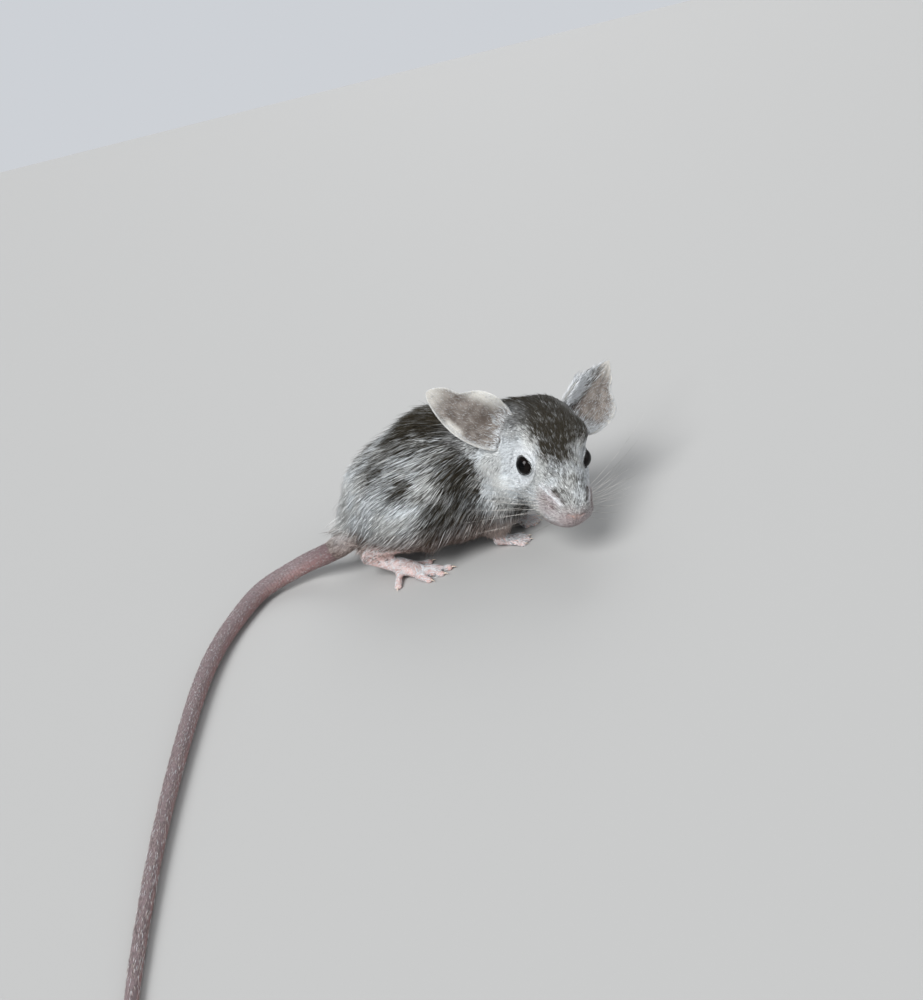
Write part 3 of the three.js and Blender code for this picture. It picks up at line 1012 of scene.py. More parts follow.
def gap_to(points, line):
    """How far each point is from a line of places that is given for the left and holds for the right too."""
    mirrored = np.stack([points[:, 0], np.abs(points[:, 1]), points[:, 2]], axis=1)
    gaps = []
    for a, b in zip(np.array(line[:-1]), np.array(line[1:])):
        share = np.clip((mirrored - a) @ (b - a) / ((b - a) @ (b - a)), 0, 1)[:, None]
        gaps.append(np.linalg.norm(mirrored - a - share * (b - a), axis=1))
    return np.min(gaps, axis=0)


# ---- Finishes


def material_graph(name):
    """A new material and the maker of its nodes."""
    material = bpy.data.materials.new(name)
    material.use_nodes = True
    return material, Graph(material.node_tree)


def shader(graph, colour, roughness, normal=None, **constants):
    """The surface itself. What is constant is set on its own sockets."""
    inputs = {"Base Color": colour, "Roughness": roughness, "Normal": normal}
    inputs |= {key.replace("_", " "): value for key, value in constants.items()}
    surface = graph.add("ShaderNodeBsdfPrincipled", None, inputs)
    graph.add("ShaderNodeOutputMaterial", None, {"Surface": surface})


def tint(red, green, blue):
    """A colour for a socket, from what is seen on a screen, 0 to 255."""
    seen = [c / 255 for c in (red, green, blue)]
    return tuple(c / 12.92 if c <= 0.04045 else ((c + 0.055) / 1.055) ** 2.4 for c in seen) + (1.0,)


# The markings: darker places (and lighter, below 0), as centre, reach and strength. Those of the head are in
# its own frame, and a pair is given once, for the left.
MIDDLE_MARKS = {
    "head": [
        ((-7, 0, 7), (7, 7.4, 5), 0.66),
        ((-1, 0.4, 6.4), (6.5, 5.2, 4), 0.50),
        ((3.6, -0.8, 3.8), (4.8, 2.8, 3.3), 0.50),
        ((0.4, 5.8, 4.2), (4.4, 2.8, 3.4), 0.42),
        ((4.4, 2.8, 2.8), (2.4, 1.3, 3.0), -0.28),
        ((-0.5, -7.0, 2.6), (4.4, 3.2, 3.6), -0.52),
        ((10, 0, -4.5), (4, 4, 3), -0.35),
        ((4.8, -4.4, -0.4), (2.4, 1.6, 2.2), -0.40),
        ((8.0, 2.6, -1.2), (2.2, 1.6, 2.0), 0.12),
    ],
    "body": [
        ((9, -5, 23.5), (7, 7, 5), 0.40),
        ((0, -2, 25.5), (10, 8, 5), 0.54),
        ((-9, -3, 23), (5, 6, 3.5), 0.08),
        ((-17.5, -3, 16), (4.4, 9, 6), -0.60),
        ((-20, -3, 8), (4, 5, 5), -0.28),
    ],
}
PAIRED_MARKS = {
    "head": [
        ((0.5, 9.5, -2.5), (8, 6, 6), -0.66),
        ((7.5, 4.2, -3), (5, 3.4, 4), -0.40),
        ((1.5, 6.0, -8.5), (5, 5, 2.5), 0.30),
        ((-6.0, 5.4, 7.2), (3.4, 2.6, 3.4), 0.30),
    ],
    "body": [
        ((2.6, 10.5, 17.8), (3.2, 4.5, 9), 0.42),
        ((-6.4, 12.3, 18.6), (3.8, 3.5, 2.9), 0.72),
        ((-10.4, 6.6, 21.0), (3.4, 3.7, 2.9), 0.84),
        ((-2.6, 12.3, 18.6), (2.2, 3, 2.9), -0.85),
        ((-8.2, 14, 14.2), (5.5, 4, 3.4), -0.34),
        ((-13, 9, 13), (4.2, 5, 5), -0.34),
        ((-7, 14, 7.5), (5.5, 5, 3), 0.16),
        ((-2.0, 13, 11.5), (3.6, 5, 5), 0.44),
        ((-4, 10.5, 4), (8, 5, 4), 0.26),
        ((6.6, 9.6, 21.2), (2.8, 3.2, 3), -0.60),
        # Lighter on the upper arm: its own pale fur, made paler still as painted light where the head shades
        # it.
        ((8, 9, 5), (3.4, 5, 3.4), -0.70),
    ],
}


def folded(graph, place):
    """A place, or the one across the middle from it if it is on the right."""
    forward, aside, up = graph.parts(place)
    return graph.add("ShaderNodeCombineXYZ", None, (forward, abs(aside), up))


def marks(graph, place, table, mirrored):
    """The sum of the marks of a table at a place."""
    place = folded(graph, place) if mirrored else place
    total = 0.0
    for centre, reach, strength in table:
        total = patch(graph, place, centre, reach) * strength + total
    return total


def patch(graph, place, centre, reach, edge=1.3):
    """1 about a centre, falling to 0 at its reach."""
    away = graph.vector("DIVIDE", graph.vector("SUBTRACT", place, centre), reach)
    return graph.ramp(graph.vector("LENGTH", away, out=1), edge, 0.3)


def attribute(graph, name, out="Fac"):
    """What is stored on the mesh under a name."""
    return graph.add("ShaderNodeAttribute", {"attribute_name": name}).output(out)


def in_head(graph, place):
    """A body-frame place in the head's own frame."""
    turn = Matrix(HEAD_AXES.tolist()).to_euler()
    inputs = {"Vector": place, "Location": HEAD_FROM_BODY.tolist(), "Rotation": turn}
    return graph.add("ShaderNodeMapping", {"vector_type": "TEXTURE"}, inputs)


def muzzle_tip(graph, head):
    """How far a place in the head's frame is on the pink of the muzzle, its lips and the whisker pads."""
    ahead = patch(graph, head, (11.5, 0, -5.8), (2.8, 4.2, 2.6)) * 0.8
    pad = patch(graph, folded(graph, head), (8.4, 3.6, -3.6), (3.2, 2.4, 2.2)) * 0.85
    lip = patch(graph, head, (8.5, 0, -7.6), (4.5, 4.5, 2.2)) * 0.8
    return graph.maths("MAXIMUM", graph.maths("MAXIMUM", ahead, pad), lip)


def hair_colour(graph, coat, grain):
    """Roan: dark hairs among silver ones, more of them where the markings are darker."""
    root = attribute(graph, "root", "Vector")
    drift = graph.noise(root, 0.55, 2.0, out=1)
    drift = graph.vector("SUBTRACT", drift, (0.5, 0.5, 0.5))
    place = graph.vector("ADD", root, graph.vector("SCALE", drift, None, None, 2.6))
    head = in_head(graph, place)
    from_middle = graph.vector("LENGTH", graph.vector("SUBTRACT", head, HEAD_MIDDLE), out=1)
    on_head = graph.ramp(from_middle, 13, 9.5)
    dark = 0.0
    for mirrored, table in ((False, MIDDLE_MARKS), (True, PAIRED_MARKS)):
        dark = dark + on_head * marks(graph, head, table["head"], mirrored)
        dark = dark + (1 - on_head) * marks(graph, place, table["body"], mirrored)
    patches = graph.noise(root, 0.32, 3.0, 0.55) - 0.5
    dark = dark + patches * coat.patchiness + coat.darkness
    pick = graph.ramp(graph.maths("MINIMUM", dark, 0.985) + (grain - 0.5) * coat.roan, 0.12, 0.88)
    warm = graph.ramp(graph.noise(root, 0.25, 1.0), 0.4, 0.6)
    low = graph.ramp(graph.parts(place)[2], 13, 5) * (1 - on_head)
    silver = graph.mix(warm * 0.35, coat.silver, coat.warm_silver)
    silver = graph.mix(low * 0.85, silver, coat.belly)
    slate = graph.mix(low * 0.85, coat.slate, coat.belly_dark)
    colour = graph.mix(pick, silver, slate)
    return graph.mix(muzzle_tip(graph, head) * 0.75, colour, coat.blush)


def coat_finish(coat):
    """Hair: darker towards its root, partly its own darker base and partly painted shade deep in the coat,
    with a fine grain from tuft to tuft.
    """
    material, graph = material_graph("coat")
    grain = attribute(graph, "grain")
    along = attribute(graph, "along")
    colour = hair_colour(graph, coat, grain)
    spread = graph.maths("FRACT", grain * 7.31)
    # Darker towards the root: partly the hair's own darker base, partly painted shade deep in the coat; the
    # spread is each tuft's own tone.
    shade = graph.ramp(along, 0.0, 0.7, 0.62, 1.0) * (spread * 0.5 + 0.75)
    colour = graph.add("ShaderNodeHueSaturation", None, {"Value": shade, "Color": colour})
    whites = attribute(graph, "white")
    head = in_head(graph, attribute(graph, "root", "Vector"))
    blushing = muzzle_tip(graph, head) * graph.ramp(whites, 1.0, 0.9)
    white = graph.mix(blushing, coat.white, coat.blush)
    colour = graph.mix(whites, colour, white)
    shader(graph, colour, 0.5, Specular_IOR_Level=0.1, Sheen_Weight=0.02, Sheen_Roughness=0.45)
    return material


def ear_colour(graph, skin, root, side):
    """Dusky ears, with painted shade darkest in the hollow, and pale along the rim and on the rolled edge."""
    up, out, layer = graph.parts(attribute(graph, "ear", "Vector"))
    crown = out * side
    mottle = graph.noise(root, 0.8, 3.0, 0.55)
    shell = graph.mix(graph.ramp(mottle, 0.35, 0.65), skin.ear, skin.ear_dark)
    # The hollow: painted shade where the ear cups in.
    hollow = graph.ramp(abs(up - 0.36), 0.14, 0.02) * graph.ramp(abs(crown - 0.1), 0.45, 0.06)
    rim = graph.ramp(abs(out), 0.8, 0.96)
    low_edge = graph.ramp(out, 0.5, 0.8) * graph.ramp(side, 0, -1) * graph.ramp(abs(up - 0.6), 0.16, 0.04)
    tip = graph.ramp(up, 0.72, 1.0)
    rolled = graph.ramp(abs(up - 0.46), 0.25, 0.06) * graph.ramp(crown, 0.4, 0.85)
    for share, colour in (
        (rim * 0.65, skin.ear_rim),
        (low_edge * 0.8, skin.ear_rim),
        # painted shade in the hollow, on the side that opens
        (hollow * graph.ramp(layer, -0.2, 0.4) * 0.7, skin.ear_hollow_shade),
        (tip * 0.6, skin.ear_rim),
        (rolled * 0.85, skin.ear_rim),
    ):
        shell = graph.mix(share, shell, colour)
    return shell


def tail_colour(graph, skin, tail, fine):
    """A tail that is grey-purple above and pinker at its sides, dusky near the rump and in its grain."""
    facing_up = graph.parts(graph.add("ShaderNodeNewGeometry").output("Normal"))[2]
    colour = graph.mix(graph.ramp(facing_up, -0.2, 0.8), skin.tail_side, skin.tail_top)
    colour = graph.mix(graph.ramp(tail, 0.16, 0.05) * 0.8, colour, skin.tail_base)
    return graph.mix(graph.ramp(fine, 0.5, 0.75) * 0.35, colour, skin.tail_base)


def skin_finish(coat, skin):
    """Furred skin with the coat's own markings, bare pink skin on the nose, feet, ears and tail."""
    material, graph = material_graph("skin")
    root = attribute(graph, "root", "Vector")
    depth, limb, nose, side, tail, lids = (
        attribute(graph, name) for name in ("depth", "limb", "nose", "ear_side", "tail", "lids")
    )
    fine = graph.noise(root, 4.5, 3.0, 0.6)
    fur = {"Value": fine * 0.5 + 0.35, "Color": hair_colour(graph, coat, fine)}
    fur = graph.add("ShaderNodeHueSaturation", None, fur)
    pink = graph.mix(graph.ramp(graph.noise(root, 0.8, 3.0), 0.35, 0.65), skin.pink, skin.pale)
    colour = graph.mix(graph.ramp(depth, 0.1, 0.15) * graph.ramp(limb, 0.9, 0.1), pink, fur)
    wings = patch(graph, folded(graph, in_head(graph, root)), (10.3, 1.7, -4.1), (1.4, 0.9, 1.1))
    bare = graph.mix(wings * 0.8, skin.nose, skin.nostrils)
    colour = graph.mix(graph.ramp(nose, 0.3, 0.8), colour, bare)
    colour = graph.mix(abs(side), colour, ear_colour(graph, skin, root, side))
    colour = graph.mix(graph.ramp(tail, 0.0, 0.03), colour, tail_colour(graph, skin, tail, fine))
    colour = graph.mix(graph.ramp(lids, 0.2, 0.8) * 0.9, colour, skin.lids)
    grain = graph.add("ShaderNodeTexVoronoi", None, {"Vector": root, "Scale": 3.2})
    relief = fine * 0.6 + grain.output("Distance") * 0.5
    normal = graph.add("ShaderNodeBump", None, {"Strength": 0.5, "Distance": 0.00012, "Height": relief})
    rough = graph.ramp(nose, 0.4, 0.9, 0.62, 0.42)
    shader(graph, colour, rough, normal, Specular_IOR_Level=0.24)
    return material


# ---- The coat

# Which way the hair lies, as (place, way), on the head in its own frame. A pair is given once, for the left.
HEAD_LIES = [
    ((11, 0, -4), (-1, 0, 0.5)),
    ((8, 4, -4), (-0.9, 0.5, 0.1)),
    ((6, 0, 1), (-0.9, 0, 0.5)),
    ((1, 0, 5), (-0.95, 0, 0.3)),
    ((-6, 0, 8), (-1, 0, -0.1)),
    ((-1, 7, -3), (-1, 0.2, -0.25)),
    ((2, 3, -8), (-1, 0.1, -0.2)),
    ((-6, 7, -1), (-1, 0.2, -0.4)),
]
BODY_LIES = [
    ((8, 2, 24), (-1, 0.1, 0.1)),
    ((-2, 0, 26), (-1, 0, -0.05)),
    ((-12, 0, 22), (-0.8, 0, -0.6)),
    ((-19, 1, 15), (-0.35, 0, -0.95)),
    ((-20, 2.5, 8), (-0.9, 0.3, -0.4)),
    ((5, 11, 14), (-0.75, 0, -0.65)),
    ((-3, 12, 14), (-0.93, 0, -0.38)),
    ((-8, 14, 13), (-0.85, 0, -0.5)),
    ((-15, 9, 13), (-0.6, 0, -0.8)),
    ((-2, 6, 2), (-0.9, 0, -0.3)),
    ((10, 4, 8), (-0.3, 0, -1)),
    ((-8, 13, 7), (-1, 0, -0.1)),
    ((-15, 8, 6), (-1, 0.1, -0.15)),
    ((7, 9, 8), (-0.1, 0, -1)),
]


def lie_of_coat(points, normals):
    """The way that the hair runs at each place, along the skin."""
    anchors, ways, spreads = [], [], []
    for table, to_frame, turn, spread in (
        (HEAD_LIES, from_head, HEAD_AXES, 4.0),
        (BODY_LIES, np.asarray, np.eye(3), 6.5),
    ):
        for at, way in table:
            for sign in (1, -1) if at[1] else (1,):
                mirror = np.array([1, sign, 1])
                anchors.append(to_frame(np.array(at) * mirror))
                ways.append(turn @ unit(np.array(way) * mirror))
                spreads.append(spread)
    for heel, ball in FEET.values():
        ahead = unit([ball[0] - heel[0], ball[1] - heel[1], -0.4])
        anchors += [np.array([*ball, 1.5]), np.array(heel)]
        ways += [ahead, ahead]
        spreads += [2.6, 2.2]
    gaps = ((points[:, None] - np.array(anchors)) ** 2).sum(-1) / np.array(spreads) ** 2
    weights = np.exp(-(gaps - gaps.min(1, keepdims=True)))
    way = weights @ np.array(ways)
    for side in SIDES:
        away = points - EYES[side]
        distance = np.linalg.norm(away, axis=1, keepdims=True)
        way = unit(way) + 1.3 * away / distance * hump(distance, 1.9, 1.6)
        axes = ear_axes(side)
        base = from_head(EARS[side]["foot"]) + axes[:, 0] * 2.5
        way = unit(way) + 0.9 * axes[:, 0] * mound(points, base, 2.8)[:, None]
    return unit(way - (way * normals).sum(1, keepdims=True) * normals)


def scattered(skin, weights, count, seed):
    """Random places on a skin, more where its points weigh more. It gives the places, the normals there, the
    corners of the faces and the shares of the corners."""
    rng = np.random.default_rng(seed)
    points, normals, triangles = read(skin), read(skin, "normals"), read(skin, "triangles")
    a, b, c = points[triangles].transpose(1, 0, 2)
    chance = np.linalg.norm(np.cross(b - a, c - a), axis=1) / 2 * weights[triangles].mean(1)
    chosen = rng.choice(len(triangles), count, p=chance / chance.sum())
    u, v = np.sqrt(rng.random(count)), rng.random(count)
    shares = np.stack([1 - u, u * (1 - v), u * v], axis=1)[..., None]
    corners = triangles[chosen]
    place_on = (points[corners] * shares).sum(1)
    return place_on, unit((normals[corners] * shares).sum(1)), corners, shares[..., 0]


def spindles(roots, middles, tips, normals, width):
    """Closed slender tufts, each a root, a ring of three points and a tip. It gives the points (tuft, point,
    xyz), the faces of one tuft, and where each point is along and across it."""
    share = 0.42  # of the length, where the ring is
    bend = 2 * middles - (roots + tips) / 2
    ring = (1 - share) ** 2 * roots + 2 * share * (1 - share) * bend + share * share * tips
    chord = unit(tips - roots)
    side = unit(np.cross(chord, normals))
    over = np.cross(side, chord)
    half = (width / 2)[:, None]
    corners = [ring + half * (x * side + y * over) for x, y in ((-1, -0.25), (0, 0.55), (1, -0.25))]
    faces = [(0, 1 + (i + 1) % 3, 1 + i) for i in range(3)]
    faces += [(1 + i, 1 + (i + 1) % 3, 4) for i in range(3)]
    along = np.array([0, share, share, share, 1])
    across = np.array([0, -0.5, 0, 0.5, 0])
    return np.stack([roots, *corners, tips], axis=1), np.array(faces), along, across


PATCH = 0.003  # how much of the unwrapped skin each tuft's own patch covers
LIMIT = 33000  # tufts in one piece, which keeps it under 200,000 triangles
# What the random draws start from.
FUR_SEED, ROOTS_SEED, LOCKS_SEED, EAR_SEED, LIMB_SEED, WHISKER_SEED = 11, 21, 31, 41, 61, 5


def unwrapped(roots, normals):
    """A place in the unit square for each root, on six sheets that the skin is opened out into."""
    axis = np.abs(normals).argmax(1)
    sign = normals[np.arange(len(normals)), axis] > 0
    sheet = axis * 2 + sign
    flat = np.choose(axis[:, None], [roots[:, 1:], roots[:, ::2], roots[:, :2]])
    span = (roots.max(0) - roots.min(0)).max() + 1e-6
    low = np.array([flat[sheet == k].min(0) if (sheet == k).any() else (0, 0) for k in range(6)])
    cell = (flat - low[sheet]) / span
    corner = np.stack([sheet % 3, sheet // 3], axis=1) * [1 / 3, 1 / 2]
    return corner + 0.005 + cell * 0.315


def coat_piece(name, tuft, material):
    """One joined mesh of tufts, with each point's attributes and its baking map."""
    forms = (tuft[key] for key in ("root", "middle", "tip", "normal", "width"))
    points, faces, along, across = spindles(*forms)
    count, each = points.shape[:2]
    all_faces = (np.arange(count)[:, None, None] * each + faces).reshape(-1, 3)
    obj = mesh_object(name, points.reshape(-1, 3), all_faces)
    mesh = smooth(obj).data
    for key in ("root", "grain", "white"):
        set_attribute(mesh, key, np.repeat(tuft[key], each, axis=0))
    set_attribute(mesh, "along", np.tile(along, count))
    patch = np.stack([across, along - 0.5], axis=1) * PATCH
    corners = unwrapped(tuft["root"], tuft["normal"])[:, None] + patch
    uv = mesh.uv_layers.new(name="OFBake")
    uv.data.foreach_set("uv", corners.reshape(-1, 2)[all_faces.ravel()].astype(np.float32).ravel())
    mesh.materials.append(material)
    return obj


def laid(surface, root, normal, way, length, rise, rng, curl=0.08):
    """Where each tuft's middle and tip come: along the skin, and so high above it."""
    sideways = np.cross(normal, way) * rng.normal(0, curl, len(root))[:, None]
    way = unit(way + sideways)
    ends = []
    for share, height in ((0.5, 0.62), (1.0, 1.0)):
        aim = root + way * (length * share)[:, None] + normal * (rise * height)[:, None]
        under, lift, _ = nearest(surface, aim)
        ends.append(under + unit(lift + 0.35 * normal) * (rise * height)[:, None])
    return ends


def clumped(tips, roots, pull, seed, share=0.07):
    """Tips drawn towards the tip of a tuft near by, so that the hair parts into locks, and that tuft."""
    rng = np.random.default_rng(seed)
    leads = rng.choice(len(roots), max(int(len(roots) * share), 1), replace=False)
    tree = tree_of(roots[leads])
    lead = leads[[tree.find(root)[1] for root in roots]]
    offset = tips[lead] - tips
    reach = np.linalg.norm(offset, axis=1, keepdims=True)
    return tips + offset * np.asarray(pull)[:, None] * np.exp(-((reach / 2.5) ** 2)), lead


def in_pieces(name, tuft, material):
    """The tufts as one piece, or as several from front to back where there are many."""
    count = len(tuft["root"])
    parts = math.ceil(count / LIMIT)
    order = np.argsort(tuft["root"][:, 0])
    made = []
    for i, chosen in enumerate(np.array_split(order, parts)):
        label = name if parts == 1 else f"{name}_{i + 1}"
        made.append(coat_piece(label, {k: v[chosen] for k, v in tuft.items()}, material))
    return made


def ear_ground(side, points):
    """1 on the skin in front of an ear's foot, where the hair is shorter, and 0 away from it."""
    along, across, out = in_ear(side, points).T
    near = ramp(along, -1.5, 1.5) * (1 - ramp(along, 8, 12)) * (1 - ramp(np.abs(across), 3.5, 6))
    return near * ramp(out, -3, -1) * (1 - 0.4 * ramp(across * SIDES[side], 1, 2.6))


def fur_roots(skin, coat, count):
    """Where the fur of the head, trunk and legs grows: the places, the normals and the coat's depth. Small
    tufts stand closer together."""
    depth, lids, nose, limb, tail = (
        get_attribute(skin.data, name) for name in ("depth", "lids", "nose", "limb", "tail")
    )
    furred = ramp(depth, 0.1, 0.2) * (1 - ramp(np.maximum(lids, nose), 0.35, 0.6)) * (1 - limb)
    length = (coat.shortest + coat.per_depth * MM * depth) / MM
    weights = furred / (length * (coat.thinnest / MM + coat.width_share * length))
    weights *= 1 - 0.85 * ramp(tail, 0.02, 0.11)
    roots, normals, corners, shares = scattered(skin, weights, count, ROOTS_SEED)
    return roots, normals, (depth[corners] * shares).sum(1)


def along_crease(way, head, crease):
    """The lie of the coat drawn along the crease above each whisker pad."""
    backward = unit(np.subtract(CREASE[0], CREASE[-1]))
    on_left, on_right = HEAD_AXES @ backward, HEAD_AXES @ (backward * [1, -1, 1])
    return unit(way + 4 * crease[:, None] * np.where(head[:, 1:2] > 0, on_left, on_right))


def fur_white(roots, head, eye, crease, ear_foot):
    """How white the fur is: most round the eyes, at the end of the muzzle, on the creases and at the ears."""
    white = 0.8 * hump(eye, 2.2, 0.9) + 0.8 * mound(head, (10, 0, -6), (2.2, 4.2, 1.9))
    white += 1.2 * crease
    for side, at in EAR_WHITES.items():
        white += 0.5 * mound(roots, from_head(EARS[side]["foot"]) + ear_axes(side) @ np.array(at), 2.0)
    return white + 0.3 * ear_foot


def body_fur(skin, surface, coat, material, count):
    """The fur of the head, trunk and legs, longest on the back and flanks and shortest on the face."""
    rng = np.random.default_rng(FUR_SEED)
    roots, normals, depth = fur_roots(skin, coat, count)
    head = to_head(roots)
    crease = hump(gap_to(head, CREASE), 0, 0.4)
    way = along_crease(lie_of_coat(roots, normals), head, crease)
    eye = np.min([np.linalg.norm(roots - EYES[s], axis=1) for s in SIDES], axis=0)
    over_leg = 1 - ramp(gap_to(roots, OVER_LEG), 1.5, 4.5)
    ear_foot = sum(ear_ground(side, roots) for side in SIDES)
    length = (coat.shortest / MM + coat.per_depth * depth) * rng.uniform(0.72, 1.18, count)
    length *= (0.36 + 0.64 * ramp(eye, 2.1, 4.2)) * (0.4 + 0.6 * ramp(roots[:, 2], 3, 10))
    length *= 1 - 0.6 * over_leg
    length *= 0.5 + 0.5 * ramp(np.linalg.norm(head - NOSE, axis=1), 1.5, 3.5)
    length *= 1 - 0.55 * ear_foot
    rise = depth * rng.uniform(0.35, 1.0, count) * (0.25 + 0.75 * ramp(eye, 2.1, 3.8))
    rise *= 1 - 0.6 * over_leg
    rise = np.maximum(rise * (1 - 0.7 * ear_foot), 0.06)
    stray = rng.random(count) < coat.strays
    length *= 1 + 0.5 * stray
    rise *= 1 + 0.45 * stray
    middle, tip = laid(surface, roots, normals, way, length, rise, rng)
    tip, lock = clumped(tip, roots, coat.clumping * rng.uniform(0.3, 1, count), LOCKS_SEED)
    width = (coat.thinnest / MM + coat.width_share * length) * (1 + 0.5 * crease)
    from_middle = np.linalg.norm(head - HEAD_MIDDLE, axis=1)
    shared = 0.3 + 0.15 * (1 - ramp(from_middle, 9.5, 13))
    grain = shared * rng.random(count)[lock] + (1 - shared) * rng.random(count)
    spots = sum(mound(head * [1, sign, 1], spot, 0.4) for spot in SPOTS for sign in (1, -1))
    spots *= 1 - crease
    white = fur_white(roots, head, eye, crease, ear_foot) * (1 - np.minimum(spots, 1))
    tuft = dict(root=roots - 0.05 * normals, normal=normals, width=width)
    tuft |= dict(middle=lifted(middle, 0.05), tip=lifted(tip, 0.03))
    tuft |= dict(grain=grain + 0.85 * spots, white=np.minimum(white, 1) * (rng.random(count) < 0.85))
    kinds = np.where(from_middle < 11.5, "head", "trunk")
    kinds = np.where((kinds == "trunk") & (depth < 0.95) & (roots[:, 2] < 8), "limbs", kinds)
    made = []
    for kind in ("head", "trunk", "limbs"):
        chosen = kinds == kind
        if chosen.any():
            made += in_pieces(f"coat_{kind}", {k: v[chosen] for k, v in tuft.items()}, material)
    return made


def short_hair(skin, surface, name, weights, count, way, length, rise, white, material, seed, width):
    """Sparse short hairs over a nearly bare part. white is the share of them that are white, and how white
    the others are."""
    rng = np.random.default_rng(seed)
    roots, normals, corners, _ = scattered(skin, weights, count, seed)
    share = rng.uniform(0.7, 1.2, count)
    direction = way(roots, normals, corners)
    direction = unit(direction - (direction * normals).sum(1, keepdims=True) * normals)
    lengths = length * share
    middle, tip = laid(surface, roots, normals, direction, lengths, rise * share, rng, 0.2)
    tuft = dict(root=roots - 0.03 * normals, normal=normals)
    tuft |= dict(middle=lifted(middle, 0.03), tip=lifted(tip, 0.02))
    tuft |= dict(width=np.full(count, width) * share, grain=rng.random(count))
    tuft |= dict(white=np.where(rng.random(count) < white[0], 0.95, white[1]))
    return in_pieces(name, tuft, material)


def ear_hair(skin, surface, material, counts):
    """Fuzz on the ears' backs and, thinner, in front, with longer pale hair on one half of the left ear."""
    mesh = skin.data
    ear, side = get_attribute(mesh, "ear"), get_attribute(mesh, "ear_side")
    up, out, layer = ear.T
    on_ear = (side != 0) & (up > 0.08)
    back = on_ear * ramp(-layer, -0.1, 0.5) * (1.1 - 0.6 * up)
    front = on_ear * ramp(layer, -0.1, 0.5) * (0.15 + 0.85 * ramp(np.abs(out), 0.55, 0.95))
    crown = out * side
    streaked = (side > 0) * ramp(layer, -0.3, 0.5) * ramp(crown, 0, 0.5) * (1 - 0.85 * ramp(up, 0.55, 0.9))
    lock = (side > 0) * ramp(crown, 0.4, 0.8) * hump(up, 0.33, 0.15)
    foot = on_ear * hump(up, 0.08, 0.09)
    made = []
    for name, weights, count, length, rise, white, width, spread in (
        ("coat_ear_fuzz", back + 0.7 * front, counts * 6, 0.6, 0.08, (0.5, 0.4), 0.03, 0.5),
        ("coat_ear_streaks", streaked, counts // 12, 2.3, 0.4, (0.65, 0.1), 0.09, 0.1),
        ("coat_ear_lock", lock, counts // 7, 2.6, 0.8, (1.0, 0.5), 0.12, -0.35),
        ("coat_ear_feet", foot, counts // 2, 1.2, 0.2, (0.5, 0.4), 0.06, 0.5),
    ):

        def fanned(roots, normals, corners):
            on_left = side[corners[:, :1]] > 0
            left, right = ear_axes("left"), ear_axes("right")
            along, across = (np.where(on_left, left[:, i], right[:, i]) for i in range(2))
            return along + spread * out[corners[:, :1]] * across

        seed = EAR_SEED + len(made)
        made += short_hair(
            skin, surface, name, weights, count, fanned, length, rise, white, material, seed, width
        )
    return made


def limb_hair(skin, surface, material, counts):
    """Pale down on the shanks and feet, and bristles between the rings of the tail."""
    mesh = skin.data
    tail, limb = (get_attribute(mesh, k) for k in ("tail", "limb"))
    points, normals = read(skin), read(skin, "normals")
    upper = ramp(limb, 0.3, 0.8) * ramp(normals[:, 2], -0.5, 0.2) * (points[:, 2] > 0.35)
    onward = unit(np.gradient(tail_centres(TAIL_STEPS)[0], axis=0))

    def along_tail(roots, normals, corners):
        last = TAIL_STEPS - 1
        return onward[np.clip((tail[corners[:, 0]] * last).astype(int), 0, last)]

    def along_limb(roots, normals, corners):
        return lie_of_coat(roots, normals)

    on_tail = (tail > 0.015) * (points[:, 2] > 0.25)
    made = []
    for name, weights, count, way, length, white, seed, width in (
        ("coat_feet", upper, counts * 2, along_limb, 1.0, (0.95, 0.1), LIMB_SEED, 0.06),
        ("coat_tail", on_tail, counts * 3, along_tail, 0.8, (0.2, 0.16), LIMB_SEED + 1, 0.038),
    ):
        made += short_hair(
            skin, surface, name, weights, count, way, length, 0.1, white, material, seed, width
        )
    return made


# ---- Eyes, claws and whiskers


def eye_finish(eyes):
    """Near black and wet, with the iris just lighter than the pupil."""
    material, graph = material_graph("eye")
    centre = attribute(graph, "centred", "Vector")
    facing = graph.parts(centre)[0]
    streak = graph.noise(centre, 3.0, 2.0)
    iris = graph.ramp(facing + (streak - 0.5) * 0.05, 0.86, 0.8)
    colour = graph.mix(iris, eyes.pupil, eyes.iris)
    rough = graph.ramp(facing, 0.55, 0.2, 0.04, 0.3)
    shader(graph, colour, rough, IOR=1.36, Specular_IOR_Level=0.22)
    return material


def build_eye(side, eyes):
    """An eyeball with the cornea standing slightly proud of it."""
    ball = ellipsoid(f"eyeball_{side}", EYES[side], [EYE_RADIUS] * 3, segments=64)
    points = read(ball)
    way = unit(points - EYES[side])
    facing = way @ EYE_LOOKS[side]
    place(ball, points + way * (eyes.cornea / MM * ramp(facing, 0.35, 1.0))[:, None])
    set_attribute(ball.data, "centred", np.stack([facing, way[:, 1], way[:, 2]], axis=1))
    return smooth(ball)


def claw_seats():
    """Where each claw comes out of its toe, and the way that it points."""
    seats = []
    for _, (root, tip), kind in toes():
        way = unit((tip - root) * [1, 1, 0])
        seats.append((tip + way * TOE_RADIUS[kind] * 0.6 + [0, 0, 0.16], way, kind))
    return seats


